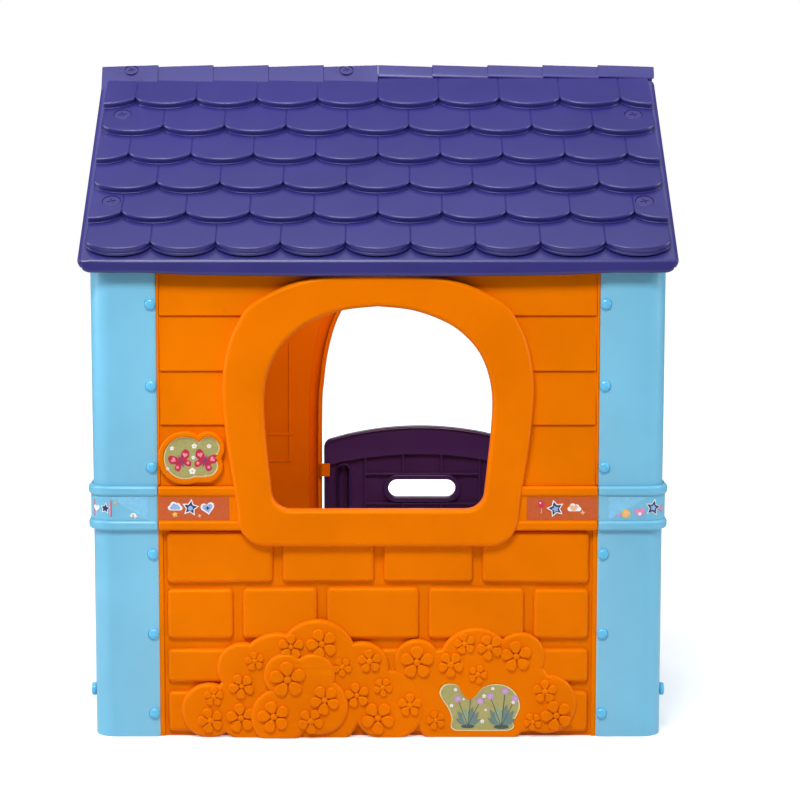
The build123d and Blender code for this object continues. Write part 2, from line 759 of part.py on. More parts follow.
def ridge_screw_pocket(x, y):
    floor = ridge_top() - ridge_screw_floor
    pocket = Pos(x, y, floor + 10) * Cylinder(ridge_screw_head_radius + screw_clearance, 20)
    return pocket + Pos(x, y, floor) * Cylinder(screw_radius + screw_clearance, 2 * ridge_screw_length)


# ---- Door

def door_outline(inset=0.0):
    half = door_half - inset
    with BuildSketch() as drawing:
        with BuildLine():
            Polyline((-half, door_corner - inset), (-half, doorway_sill + door_gap + inset),
                     (half, doorway_sill + door_gap + inset), (half, door_corner - inset))
            ThreePointArc((half, door_corner - inset), (0, door_crown - inset),
                          (-half, door_corner - inset))
        make_face()
        fillet(drawing.vertices().group_by(Axis.Y)[-1], door_corner_radius - inset)
    return Pos(doorway_centre, 0) * drawing.sketch


def door_ribs(near, far):
    """Stiffening ribs on the inner side, under the smooth band."""
    low = doorway_sill + door_gap
    lines = []
    last = doorway_centre + door_first_rib
    for index in range(door_ribs_upright):
        x = last - index * door_rib_step
        lines.append(block(x - door_rib / 2, x + door_rib / 2, near, far, low, door_crown - door_band))
    left = last - (door_ribs_upright - 1) * door_rib_step
    for z in door_cross_ribs:
        lines.append(block(left, last, near, far, z - door_rib / 2, z + door_rib / 2))
    return Part() + lines


def make_door():
    near = hinge_y - door_thickness / 2
    far = hinge_y + door_thickness / 2
    shell = slab(door_outline(), near, far)
    face = shell.faces().sort_by(Axis.Y)[0]
    shell = fillet(face.edges(), door_edge_radius)
    inside = door_outline(skin)
    shell -= slab(inside, near - 1, far - skin)
    arc_band = door_outline(skin) - Pos(0, -door_band) * door_outline(skin)
    lowest = doorway_sill + door_gap + door_band
    arc_band &= Pos(doorway_centre, lowest + 300) * Rectangle(3 * door_half, 600)
    shell += slab(arc_band, near + door_band_setback, near + door_band_setback + skin)
    shell += door_ribs(near + door_rib_setback, far - 1) & slab(inside, near - 1, far)
    slot = Pos(doorway_centre, slot_centre_height)
    rim = slot * SlotOverall(slot_length + 2 * slot_rim, slot_height + 2 * slot_rim)
    hole = slot * SlotOverall(slot_length, slot_height)
    shell += slab(rim - hole, near + slot_rim_setback, far + slot_rim_rise)
    handle_x = doorway_centre + door_half - handle_inset
    handle_z = handle_top - handle_length / 2
    grip = Pos(handle_x, handle_z) * (Rot(0, 0, 90) * SlotOverall(handle_length, handle_width))
    grip_hollow = Pos(handle_x, handle_z) * (Rot(0, 0, 90) * SlotOverall(
        handle_length - 2 * skin, handle_width - 2 * skin))
    handle = slab(grip, near + door_rib_setback, far + handle_rise)
    face = handle.faces().sort_by(Axis.Y)[0]
    shell += fillet(face.edges(), handle_round)
    shell -= slab(grip_hollow, near - 1, far + handle_rise - skin)
    shell -= slab(hole, near - 1, far + 5)
    return hinge_side(shell, near, far)


def hinge_side(shell, near, far):
    """Gives the door its round hinge edge, notched for the lugs and bored for the pins."""
    low = doorway_sill + door_gap
    high = door_corner - door_corner_radius
    axis = Pos(hinge_x, -hinge_y, 0)
    shell -= block(hinge_x - door_thickness, hinge_x, near - 1, far + 1, 0, door_crown)
    top = door_corner - barrel_shoulder
    barrel = axis * Pos(0, 0, (low + high) / 2) * Cylinder(door_thickness / 2, high - low)
    fill = block(hinge_x, hinge_x + door_thickness / 2, near, far, low, high)
    shell += barrel + (fill - block(hinge_x, hinge_x + door_thickness, 0, hinge_y, high, top))
    for centre in lug_centres:
        notch = axis * Pos(0, 0, centre) * Cylinder(door_thickness / 2 + lug_play,
                                                    lug_height + 2 * lug_play)
        notch += block(hinge_x - door_thickness, hinge_x, near - 1, far + 1,
                       centre - lug_height / 2 - lug_play, centre + lug_height / 2 + lug_play)
        shell -= notch
    upper_foot = lug_centres[1] - lug_height / 2 - pin_reach - lug_play
    lower_top = lug_centres[0] + lug_height / 2 + pin_reach + lug_play
    shell -= axis * standing_cylinder(pin_radius + running_gap, upper_foot, high + 1)
    shell -= axis * standing_cylinder(pin_radius + running_gap, low - 1, lower_top)
    shell -= axis * standing_cylinder(pin_head_radius + lug_play, high, high + 3 * pin_head_height)
    return Rot(0, 0, 180) * shell


def standing_cylinder(radius, low, high):
    return Pos(0, 0, low) * Cylinder(radius, high - low, align=(Align.CENTER, Align.CENTER, Align.MIN))


def hinge_pin(low, high, head_at_top):
    foot = high if head_at_top else low - pin_head_height
    pin = standing_cylinder(pin_radius, low, high)
    pin += standing_cylinder(pin_head_radius, foot, foot + pin_head_height)
    return Rot(0, 0, 180) * Pos(hinge_x, -hinge_y, 0) * pin


# ---- Fasteners and plugs

def snap_rivet(x, z):
    """A plastic push rivet through a gable wall's return and the panel's hidden flange."""
    seat = half_depth + pad_rise
    tail = half_depth - 2 * skin - joint_gap - rivet_tail
    radius = (rivet_head_radius ** 2 + rivet_head_rise ** 2) / (2 * rivet_head_rise)
    dome = Pos(x, radius - rivet_head_rise - seat, z) * Sphere(radius)
    dome &= slab(Pos(x, z) * Circle(rivet_head_radius), seat, seat + rivet_head_rise + 1)
    shaft = slab(Pos(x, z) * Circle(rivet_shaft_radius), tail, seat + 1)
    return dome + shaft


def rivet_row(x_side, y_side):
    rivets = [snap_rivet(x_side * rivet_line, height) for height in rivet_heights]
    return Compound(children=[Rot(0, 0, 0 if y_side < 0 else 180) * rivet for rivet in rivets])


def headed_screw(head_radius, head_height, radius, length):
    """A flat-headed plastic screw: its head's top at Z = 0, its shank down the Z axis, a cross slot."""
    down = (Align.CENTER, Align.CENTER, Align.MAX)
    screw = Cylinder(head_radius, head_height, align=down)
    screw += Cylinder(radius, length, align=down)
    slot = Box(head_radius, 2.5, head_height, align=(Align.CENTER, Align.CENTER, Align.CENTER))
    return screw - slot - Rot(0, 0, 90) * slot


def roof_screws():
    """The four screws of the front panel, two through each gable edge."""
    screw = headed_screw(screw_head_radius, screw_head_height, screw_radius, screw_length)
    places = [slope_frame(side * (roof_half - screw_inset), reach, -1)
              for side in (-1, 1) for reach in roof_screw_reaches]
    return [place.location * Pos(0, 0, 2 - screw_seat + screw_head_height) * screw for place in places]


def ridge_screws():
    screw = headed_screw(ridge_screw_head_radius, screw_head_height, screw_radius, ridge_screw_length)
    top = ridge_top() - ridge_screw_floor + screw_head_height
    return [Pos(x, ridge_screw_offset, top) * screw for x in ridge_screw_places]


def pediment_screws():
    screw = headed_screw(pediment_screw_head, screw_head_height, screw_radius, 2 * skin + 1)
    face = half_length - 2 * skin - joint_gap
    return [Pos(face - screw_head_height, y, wall_height - pediment_screw_drop) * Rot(0, -90, 0) * screw
            for y in pediment_screw_places]


def turned(pieces):
    return [Rot(0, 0, 180) * piece for piece in pieces]


def side_plug():
    """The round plug low on a gable wall, with a stem through the wall."""
    down = (Align.CENTER, Align.CENTER, Align.MIN)
    cap = Cylinder(plug_radius, plug_rise, align=down)
    cap = fillet(cap.edges().sort_by(Axis.Z)[-1], plug_round)
    stem = Cylinder(plug_radius - plug_shoulder, skin + 6, align=(Align.CENTER, Align.CENTER, Align.MAX))
    return Pos(half_length, plug_setback - half_depth, plug_height) * Rot(0, 90, 0) * (cap + stem)


# ---- Printed films

def belt_film(side):
    """The printed strip on the window wall's belt, from the frame to the panel's edge."""
    near = window_belly_half + window_band - 12
    far = panel_half - joint_gap - film_inset
    low = belt_bottom + belt_roll + film_inset
    high = belt_top - belt_roll - film_inset
    face = half_depth + belt_rise
    return block(min(side * near, side * far), max(side * near, side * far), face,
                 face + print_thickness, low, high)


def corner_film():
    """The strip on the +X gable wall's belt, from the front return round the corner."""
    low = belt_bottom + belt_roll + film_inset
    high = belt_top - belt_roll - film_inset
    film = ring_band(belt_rise + print_thickness, low, high, -belt_rise)
    reach = corner_return - 18
    keep = Pos(half_length + 50 - reach / 2, -half_depth, 0) * Box(reach + 100, 150, 3 * wall_height)
    return film & keep


def garden_film():
    face = half_depth + right_bush_rise - picture_depth
    return slab(offset(garden_picture(), -film_inset), face, face + print_thickness)


def emblem_film():
    face = half_depth + emblem_rise - 3 * picture_depth
    return slab(emblem(emblem_rim + film_inset), face, face + print_thickness)


# ---- The whole house

def build_nodes():
    gable = make_gable_wall()
    pediment = make_pediment()
    roof = make_roof_panel()
    barrel_top = door_corner - door_corner_radius
    nodes = {
        "window_wall": make_front_wall(),
        "door_wall": make_back_wall(),
        "gable_wall_right": gable,
        "gable_wall_left": gable.mirror(Plane.YZ),
        "pediment_right": pediment,
        "pediment_left": Rot(0, 0, 180) * pediment,
        "roof_panel_front": roof,
        "roof_panel_back": Rot(0, 0, 180) * roof,
        "half_door": make_door(),
        "hinge_pin_upper": hinge_pin(lug_centres[1] - lug_height / 2 - pin_reach,
                                     barrel_top + joint_gap, True),
        "hinge_pin_lower": hinge_pin(doorway_sill + door_gap - joint_gap,
                                     lug_centres[0] + lug_height / 2 + pin_reach, False),
        "rivets_front_left": rivet_row(-1, -1),
        "rivets_front_right": rivet_row(1, -1),
        "rivets_back_left": rivet_row(1, 1),
        "rivets_back_right": rivet_row(-1, 1),
        "roof_screws_front": Compound(children=roof_screws()),
        "roof_screws_back": Compound(children=turned(roof_screws())),
        "ridge_screws_front": Compound(children=ridge_screws()),
        "ridge_screws_back": Compound(children=turned(ridge_screws())),
        "pediment_screws_right": Compound(children=pediment_screws()),
        "pediment_screws_left": Compound(children=turned(pediment_screws())),
        "side_plug_right": side_plug(),
        "side_plug_left": side_plug().mirror(Plane.YZ),
        "belt_print_left": belt_film(-1),
        "belt_print_right": belt_film(1),
        "corner_print_right": corner_film(),
        "corner_print_left": corner_film().mirror(Plane.YZ),
        "emblem_print": emblem_film(),
        "garden_print": garden_film(),
    }
    return nodes


os.makedirs("parts", exist_ok=True)
for name, piece in build_nodes().items():
    export_step(piece, f"parts/{name}.step")
print("house height", round(ridge_top(), 1), "ridge of the cusp plane", round(cusp_ridge, 1))
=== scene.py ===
import json
from math import atan, atan2, cos, hypot, pi, radians, sin

import bpy
from mathutils import Matrix, Vector

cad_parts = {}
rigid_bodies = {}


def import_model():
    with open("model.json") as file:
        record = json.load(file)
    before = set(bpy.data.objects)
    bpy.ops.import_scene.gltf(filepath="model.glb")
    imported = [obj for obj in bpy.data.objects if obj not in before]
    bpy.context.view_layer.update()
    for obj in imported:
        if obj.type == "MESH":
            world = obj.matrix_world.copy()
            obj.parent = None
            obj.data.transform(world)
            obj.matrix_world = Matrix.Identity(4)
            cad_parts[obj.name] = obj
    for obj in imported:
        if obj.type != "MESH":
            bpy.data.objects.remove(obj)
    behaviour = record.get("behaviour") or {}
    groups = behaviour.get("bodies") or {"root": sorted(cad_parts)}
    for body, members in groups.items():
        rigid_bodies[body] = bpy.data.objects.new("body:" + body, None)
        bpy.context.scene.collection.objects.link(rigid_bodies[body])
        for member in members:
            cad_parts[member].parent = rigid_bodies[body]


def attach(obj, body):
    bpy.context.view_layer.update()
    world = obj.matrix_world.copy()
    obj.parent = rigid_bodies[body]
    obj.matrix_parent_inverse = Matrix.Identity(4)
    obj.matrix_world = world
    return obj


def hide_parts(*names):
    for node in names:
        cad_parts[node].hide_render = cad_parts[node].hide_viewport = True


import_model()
for spare in [thing for thing in bpy.data.objects if thing.name in ("Cube", "Camera", "Light")]:
    bpy.data.objects.remove(spare)
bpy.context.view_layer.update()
bpy.ops.object.select_all(action="DESELECT")

# ---- Studio
# A pale floor that runs out of view, a white surround, and soft boxes above, in front and to the
# sides, as for a catalogue picture. The camera stands level with the eaves and looks down a little.
camera_dip = 6.6675                       # degrees below level
bpy.ops.object.camera_add(location=(0, -4.4083, 1.09676),
                          rotation=(radians(90 - camera_dip), 0, 0))
camera = bpy.context.object
camera.data.lens = 99.735
camera.data.sensor_width = 36
camera.data.shift_x = 0.0275
bpy.context.scene.camera = camera



def node(tree, kind, values=()):
    """A new shader node with some of its inputs set."""
    made = tree.nodes.new("ShaderNode" + kind)
    for socket, value in dict(values).items():
        made.inputs[socket].default_value = value
    return made


world = bpy.data.worlds.new("white_surround")
bpy.context.scene.world = world
world.use_nodes = True
surround = world.node_tree
surround.nodes["Background"].inputs["Color"].default_value = (1, 1, 1, 1)
seen = node(surround, "LightPath")
fill = node(surround, "MapRange", {"To Min": 0.13, "To Max": 1.0})
surround.links.new(seen.outputs["Is Camera Ray"], fill.inputs["Value"])
surround.links.new(fill.outputs["Result"], surround.nodes["Background"].inputs["Strength"])
bpy.context.scene.view_settings.view_transform = "Standard"


def soft_box(name, place, aim, width, height, watts):
    bpy.ops.object.light_add(type="AREA", location=place)
    light = bpy.context.object
    light.name = name
    light.data.shape = "RECTANGLE"
    light.data.size = width
    light.data.size_y = height
    light.data.energy = watts
    light.rotation_euler = (Vector(aim) - Vector(place)).to_track_quat("-Z", "Y").to_euler()
    light.visible_camera = False
    return light


soft_box("key_box", (-0.6, -3.0, 3.7), (0, 0, 0.6), 1.8, 1.1, 146)
soft_box("top_box", (0, -0.2, 3.3), (0, 0, 0), 2.6, 1.8, 24)
soft_box("left_box", (-2.3, -0.6, 1.7), (0, 0, 0.8), 0.6, 2.0, 32)
soft_box("right_box", (2.3, -0.6, 1.7), (0, 0, 0.8), 0.6, 2.0, 26)
soft_box("back_box", (0, 3.2, 2.6), (0, 0, 0.8), 2.4, 1.2, 60)
soft_box("inside_box", (0.1, -0.25, 0.93), (-0.1, 0.4, 0.5), 0.5, 0.2, 4.8)
bpy.context.object.data.color = (1, 0.58, 0.42)

bpy.ops.mesh.primitive_plane_add(size=24, location=(0, 0, 0))
floor = bpy.context.object
floor.name = "studio_floor"
floor_paint = bpy.data.materials.new("floor_paint")
floor_paint.use_nodes = True
tree = floor_paint.node_tree
paint = tree.nodes["Principled BSDF"]
paint.inputs["Base Color"].default_value = (0.78, 0.78, 0.79, 1)
paint.inputs["Roughness"].default_value = 0.7
paint.inputs["Emission Color"].default_value = (1, 1, 1, 1)
looked_at = node(tree, "LightPath")
glow = node(tree, "MapRange", {"To Min": 0.0})
spot = node(tree, "TexCoord")
far = node(tree, "VectorMath")
far.operation = "LENGTH"
spread = node(tree, "MapRange", {"From Min": 0.7, "From Max": 2.4, "To Min": 0.36, "To Max": 1.0})
for start, end in ((spot.outputs["Object"], far.inputs[0]),
                   (far.outputs["Value"], spread.inputs["Value"]),
                   (spread.outputs["Result"], glow.inputs["To Max"]),
                   (looked_at.outputs["Is Camera Ray"], glow.inputs["Value"]),
                   (glow.outputs["Result"], paint.inputs["Emission Strength"])):
    tree.links.new(start, end)
floor.data.materials.append(floor_paint)

# ---- Roof panels
# Two blow-moulded polypropylene panels that meet at the ridge. Each has six rows of round-ended
# tiles, a turned-down eave that hangs a little in the middle, and half of the ridge's cap tiles.
pitch = radians(39)
ridge_line = 1.2282                      # the rows' feet, carried up to the ridge
slope = Matrix.Translation((0, 0, ridge_line)) @ Matrix.Rotation(pitch, 4, "X")
turn_back = Matrix.Rotation(pi, 4, "Z")
roof_half = 0.5425
eave_out = 0.425
eave_foot = 0.861
tile_pitch = 2 * (roof_half - 0.014) / 9
row_step = 0.0838
first_row = 0.0840
tile_drop = 0.0318
tile_lift = 0.0125
tile_tilt = atan(tile_lift / row_step)


def only(piece):
    bpy.ops.object.select_all(action="DESELECT")
    piece.select_set(True)
    bpy.context.view_layer.objects.active = piece


def settle(piece, place=Matrix()):
    """Puts a piece in its place and leaves the place in its mesh."""
    only(piece)
    piece.matrix_world = place @ piece.matrix_world
    bpy.ops.object.transform_apply(location=True, rotation=True, scale=True)
    return piece


def close_up(piece):
    """Welds the doubles and turns every face outwards."""
    only(piece)
    bpy.ops.object.mode_set(mode="EDIT")
    bpy.ops.mesh.select_all(action="SELECT")
    bpy.ops.mesh.remove_doubles(threshold=0.00001)
    bpy.ops.mesh.normals_make_consistent(inside=False)
    bpy.ops.object.mode_set(mode="OBJECT")
    return piece


def plate(outlines, low, high, edge, place=Matrix(), steps=3):
    """A flat plate of the outlines' shape between two heights, its rims rounded."""
    drawing = bpy.data.curves.new("plate", "CURVE")
    drawing.dimensions = "2D"
    drawing.fill_mode = "BOTH"
    for outline in outlines:
        line = drawing.splines.new("POLY")
        line.points.add(len(outline) - 1)
        for point, (x, y) in zip(line.points, outline):
            point.co = (x, y, 0, 1)
        line.use_cyclic_u = True
    drawing.extrude = (high - low) / 2 - edge
    drawing.bevel_depth = edge
    drawing.bevel_resolution = steps
    drawing.offset = -edge
    piece = bpy.data.objects.new("plate", drawing)
    bpy.context.collection.objects.link(piece)
    only(piece)
    bpy.ops.object.convert(target="MESH")
    settle(piece, place @ Matrix.Translation((0, 0, (low + high) / 2)))
    return close_up(piece)


def block(low, high, edge, place=Matrix(), steps=3):
    """A box from one corner to the other, its edges rounded."""
    size = [b - a for a, b in zip(low, high)]
    middle = [(a + b) / 2 for a, b in zip(low, high)]
    bpy.ops.mesh.primitive_cube_add(size=1, location=middle, scale=size)
    piece = bpy.context.object
    settle(piece)
    if edge:
        bpy.ops.object.mode_set(mode="EDIT")
        bpy.ops.mesh.select_all(action="SELECT")
        bpy.ops.mesh.bevel(offset=edge, segments=steps, affect="EDGES")
        bpy.ops.object.mode_set(mode="OBJECT")
    return settle(piece, place)


def rod(radius, length, middle=(0, 0, 0), vertices=40, turn=(0, 0, 0), place=Matrix()):
    """A cylinder about its middle, upright unless it is turned."""
    bpy.ops.mesh.primitive_cylinder_add(vertices=vertices, radius=radius, depth=length,
                                        location=middle, rotation=turn)
    return settle(bpy.context.object, place)


def twin(piece, place, mirrored=False):
    """A copy with its own mesh, moved to its place."""
    other = piece.copy()
    other.data = piece.data.copy()
    bpy.context.collection.objects.link(other)
    settle(other, place)
    return close_up(other) if mirrored else other


def join(pieces, name):
    only(pieces[0])
    for piece in pieces:
        piece.select_set(True)
    bpy.ops.object.join()
    pieces[0].name = name
    return pieces[0]


def combine(piece, tool, how="DIFFERENCE"):
    """Cuts a piece with a tool, or runs the two together."""
    change = piece.modifiers.new("combine", "BOOLEAN")
    change.object = tool
    change.operation = how
    change.solver = "EXACT"
    only(piece)
    bpy.ops.object.modifier_apply(modifier=change.name)
    bpy.data.objects.remove(tool)
    return piece


def trim(piece, point, normal):
    """Takes off what stands beyond a plane, and closes the cut."""
    only(piece)
    bpy.ops.object.mode_set(mode="EDIT")
    bpy.ops.mesh.select_all(action="SELECT")
    bpy.ops.mesh.bisect(plane_co=point, plane_no=normal, use_fill=True, clear_outer=True)
    bpy.ops.object.mode_set(mode="OBJECT")
    return piece


def soften(piece, width, steps=3):
    """Rounds the sharp edges that a cut has left."""
    round_off = piece.modifiers.new("round", "BEVEL")
    round_off.width = width
    round_off.segments = steps
    round_off.limit_method = "ANGLE"
    round_off.angle_limit = radians(40)
    round_off.use_clamp_overlap = False
    only(piece)
    bpy.ops.object.modifier_apply(modifier=round_off.name)
    return piece


def dress(piece, material, body, slot, *nodes):
    """Gives a finished piece its plastic, and sets it in place of the plain solids."""
    piece.data.materials.clear()
    piece.data.materials.append(material)
    only(piece)
    bpy.ops.object.shade_smooth_by_angle(angle=radians(38))
    even = piece.modifiers.new("even", "WEIGHTED_NORMAL")
    even.keep_sharp = True
    even.weight = 60
    bpy.ops.object.modifier_apply(modifier=even.name)
    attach(piece, body)
    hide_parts(*nodes)


def dress_both(piece, place, twin_name, material, slot, node_here, node_there, mirrored=False):
    """Dresses a piece of the house, and its twin across the house."""
    other = twin(piece, place, mirrored)
    other.name = twin_name
    dress(piece, material, "house", slot, node_here)
    dress(other, material, "house", slot, node_there)


def tone_ramp(tree, low, high, dark, light):
    """A ramp between two tones of a colour."""
    ramp = node(tree, "ValToRGB")
    for element, position, tone in zip(ramp.color_ramp.elements, (low, high), (dark, light)):
        element.position = position
        element.color = tone + [1]
    return ramp


def moulded_plastic(name, colour, roughness, edge_highlight_colour, grain=0.22, tint=(1, 1, 1), edge_highlight_strength=0.22):
    """Moulded plastic: uneven gloss, a pebbled skin, faint flow lines, and sharp edges painted paler as a
    highlight.
    """
    material = bpy.data.materials.new(name)
    material.use_nodes = True
    tree = material.node_tree
    tie = tree.links.new
    skin = tree.nodes["Principled BSDF"]
    skin.inputs["IOR"].default_value = 1.49
    skin.inputs["Specular IOR Level"].default_value = 0.5
    skin.inputs["Specular Tint"].default_value = list(tint) + [1]
    place = node(tree, "TexCoord")

    cloud = node(tree, "TexNoise", {"Scale": 5, "Detail": 4})
    tie(place.outputs["Object"], cloud.inputs["Vector"])
    shade = tone_ramp(tree, 0.35, 0.65, [part * 0.93 for part in colour],
                      [min(1, part * 1.05) for part in colour])
    tie(cloud.outputs["Fac"], shade.inputs["Fac"])

    flow_place = node(tree, "Mapping", {"Scale": (14, 14, 1.6)})
    tie(place.outputs["Object"], flow_place.inputs["Vector"])
    flow = node(tree, "TexNoise", {"Scale": 1, "Detail": 5})
    tie(flow_place.outputs["Vector"], flow.inputs["Vector"])

    # Painted highlight: sharp edges, found by their pointiness, are mixed towards a paler colour.
    edge_shape = node(tree, "NewGeometry")
    painted_highlight_mask = node(tree, "MapRange", {"From Min": 0.53, "From Max": 0.62, "To Max": edge_highlight_strength})
    tie(edge_shape.outputs["Pointiness"], painted_highlight_mask.inputs["Value"])
    edge_highlighted_colour = node(tree, "Mix")
    edge_highlighted_colour.data_type = "RGBA"
    edge_highlighted_colour.inputs["B"].default_value = list(edge_highlight_colour) + [1]
    tie(painted_highlight_mask.outputs["Result"], edge_highlighted_colour.inputs["Factor"])
    tie(shade.outputs["Color"], edge_highlighted_colour.inputs["A"])
    tie(edge_highlighted_colour.outputs["Result"], skin.inputs["Base Color"])

    gloss = node(tree, "MapRange", {"To Min": roughness - 0.05, "To Max": roughness + 0.07})
    tie(flow.outputs["Fac"], gloss.inputs["Value"])
    tie(gloss.outputs["Result"], skin.inputs["Roughness"])

    pebble = node(tree, "TexNoise", {"Scale": 420, "Detail": 3})
    tie(place.outputs["Object"], pebble.inputs["Vector"])
    sink = node(tree, "TexNoise", {"Scale": 9, "Detail": 2})
    tie(place.outputs["Object"], sink.inputs["Vector"])
    waves = node(tree, "Bump", {"Strength": 0.25, "Distance": 0.003})
    tie(sink.outputs["Fac"], waves.inputs["Height"])
    fine = node(tree, "Bump", {"Strength": grain, "Distance": 0.0004})
    tie(pebble.outputs["Fac"], fine.inputs["Height"])
    tie(waves.outputs["Normal"], fine.inputs["Normal"])
    tie(fine.outputs["Normal"], skin.inputs["Normal"])
    return material


# Each plastic's second colour is the paler one of its painted edge highlight.
purple_plastic = moulded_plastic("purple_plastic", (0.027, 0.023, 0.165), 0.33, (0.10, 0.09, 0.36))

half_tile = tile_pitch / 2
scallop = [((half_tile + 0.0012) * cos(pi + pi * step / 28), tile_drop * sin(pi + pi * step / 28))
           for step in range(29)]
tile = plate([scallop + [(half_tile + 0.0012, 0.088), (-half_tile - 0.0012, 0.088)]],
             -0.0155, 0, 0.0038, steps=4)
only(tile)
bpy.ops.object.mode_set(mode="EDIT")
bpy.ops.mesh.select_all(action="DESELECT")
bpy.ops.object.mode_set(mode="OBJECT")
for corner in tile.data.vertices:
    corner.select = corner.co.y > 0.08 and corner.co.z < -0.0075
bpy.ops.object.mode_set(mode="EDIT")
bpy.ops.transform.translate(value=(0, 0, 0.0085))
bpy.ops.object.mode_set(mode="OBJECT")
foot_line = [((half_tile + 0.0018) * cos(pi + pi * step / 28),
              (tile_drop + 0.0026) * sin(pi + pi * step / 28)) for step in range(29)]
tile_foot = plate([foot_line + [(half_tile + 0.0018, 0.012), (-half_tile - 0.0018, 0.012)]],
                  -0.0153, 0.0026 - tile_lift, 0.0013, steps=3)
tiles = []
tile_feet = []
for row in range(6):
    reach = first_row + row * row_step
    turn = Matrix.Translation((0, -reach, tile_lift)) @ Matrix.Rotation(-tile_tilt, 4, "X")
    across = [(index - 4.5) * tile_pitch for index in range(10)] if row % 2 == 0 else \
             [(index - 4) * tile_pitch for index in range(9)]
    for x in across:
        place = slope @ Matrix.Translation((x, 0, 0)) @ turn
        for part, row_of in ((tile, tiles), (tile_foot, tile_feet)):
            piece = twin(part, place)
            for side in (-1, 1):
                if x * side > 3.9 * tile_pitch:
                    trim(piece, (side * 0.5285, 0, 0), (side, 0, 0))
            row_of.append(piece)
bpy.data.objects.remove(tile)
bpy.data.objects.remove(tile_foot)

# The tray under the tiles: deck, gable lips and eave in one, hollow from below.
lip_low = -0.047
deck_top = -0.0008


def arc(start, through, end, count):
    """Points along the round arc from start through a point to end, the end left out."""
    (ax, ay), (bx, by), (cx, cy) = start, through, end
    twice = 2 * (ax * (by - cy) + bx * (cy - ay) + cx * (ay - by))
    if abs(twice) < 1e-9:
        return [(ax + (cx - ax) * step / count, ay + (cy - ay) * step / count)
                for step in range(count)]
    a, b, c = ax * ax + ay * ay, bx * bx + by * by, cx * cx + cy * cy
    x = (a * (by - cy) + b * (cy - ay) + c * (ay - by)) / twice
    y = (a * (cx - bx) + b * (ax - cx) + c * (bx - ax)) / twice
    radius = hypot(ax - x, ay - y)
    first, middle, last = (atan2(py - y, px - x) for px, py in (start, through, end))
    sweep = (last - first) % (2 * pi)
    if (middle - first) % (2 * pi) > sweep:
        sweep -= 2 * pi
    return [(x + radius * cos(first + sweep * step / count), y
             + radius * sin(first + sweep * step / count))
            for step in range(count)]


def corner_arc(before, corner, after, radius, count=8):
    """A rounded corner between two straight sides."""
    to_before = (Vector(before) - Vector(corner)).normalized()
    to_after = (Vector(after) - Vector(corner)).normalized()
    half = to_before.angle(to_after) / 2
    reach = radius / (sin(half) / cos(half))
    start = Vector(corner) + to_before * reach
    end = Vector(corner) + to_after * reach
    middle = Vector(corner) + (to_before + to_after).normalized() * (radius / sin(half) - radius)
    return arc(tuple(start), tuple(middle), tuple(end), count) + [tuple(end)]


def on_slope(reach, lift):
    return (-reach * cos(pitch) - lift * sin(pitch), ridge_line - reach * sin(pitch)
            + lift * cos(pitch))


def on_eave(out, lift):
    """Where a plane parallel to the roof, raised by lift, passes a distance out from the ridge."""
    return (-out, ridge_line - out * sin(pitch) / cos(pitch) + lift / cos(pitch))


def across_plate(outline, x0, x1, edge, steps=4):
    """A side view in Y and Z, run from x0 to x1."""
    stand = Matrix(((0, 0, 1, 0), (1, 0, 0, 0), (0, 1, 0, 0), (0, 0, 0, 1)))
    return plate([outline], x0, x1, edge, stand, steps)


def round_footed(half, foot, radius):
    """The panel as seen from the front: its two lower corners round."""
    line = [(half, 1.4), (-half, 1.4)]
    for side, first in ((-1, pi), (1, 1.5 * pi)):
        for step in range(9):
            angle = first + pi / 2 * step / 8
            line.append((side * (half - radius) + radius * cos(angle), foot + radius
                         + radius * sin(angle)))
    return line


from_front = Matrix.Rotation(pi / 2, 4, "X")
tray_half = roof_half - 0.0004
eave_corner = on_eave(eave_out - 0.0004, deck_top)
eave_view = [on_slope(0.022, deck_top)]
for before, corner, after, radius in (
        (eave_view[0], eave_corner, (-eave_out + 0.0004, eave_foot), 0.012),
        (eave_corner, (-eave_out + 0.0004, eave_foot), (-eave_out + 0.030, eave_foot), 0.005)):
    eave_view += corner_arc(before, corner, after, radius, 6)
eave_view += [(-eave_out + 0.030, eave_foot), on_slope(0.505, lip_low), on_slope(0.022, lip_low)]
shell_box = across_plate(eave_view, -tray_half, tray_half, 0.008, 5)
corner_round_low = 0.026
sag = 0.0062                              # the eave's lower edge hangs a little in the middle
only(shell_box)
bpy.ops.object.mode_set(mode="EDIT")
for step in range(-19, 20):
    bpy.ops.mesh.select_all(action="SELECT")
    bpy.ops.mesh.bisect(plane_co=(step * 0.02501, 0, 0), plane_no=(1, 0, 0))
for step in range(1, 8):
    reach = corner_round_low * step / 7
    for side in (-1, 1):
        bpy.ops.mesh.select_all(action="SELECT")
        bpy.ops.mesh.bisect(plane_co=(side * (tray_half - corner_round_low + reach * 0.999), 0, 0),
                            plane_no=(1, 0, 0))
    bpy.ops.mesh.select_all(action="SELECT")
    bpy.ops.mesh.bisect(plane_co=(0, 0, eave_foot + corner_round_low - reach * 0.999),
                        plane_no=(0, 0, 1))
bpy.ops.object.mode_set(mode="OBJECT")
for corner in shell_box.data.vertices:
    out = abs(corner.co.x) - (tray_half - corner_round_low)
    down = eave_foot + corner_round_low - corner.co.z
    if out > 0 and down > 0:
        shrink = max(out, down) / hypot(out, down)
        corner.co.x = (tray_half - corner_round_low + out * shrink) * (1 if corner.co.x > 0 else -1)
        corner.co.z = eave_foot + corner_round_low - down * shrink
    if corner.co.z < eave_foot + 0.012 and corner.co.y < 0.0004 - eave_out + 0.03 and abs(corner.co.x) < 0.42:
        corner.co.z -= sag * (1 - (corner.co.x / 0.42) ** 4) * (1 - (corner.co.z - eave_foot) / 0.012)
cavity = across_plate([on_slope(-0.05, -0.014), on_eave(eave_out - 0.006, -0.014),
                       (-eave_out + 0.006, 0.80), (0.05, 0.80)], -0.6, 0.6, 0.0, 1)
combine(cavity, plate([round_footed(roof_half - 0.006, 0.8, 0.002)], -0.5, 0.6, 0.0, from_front, 1),
        "INTERSECT")
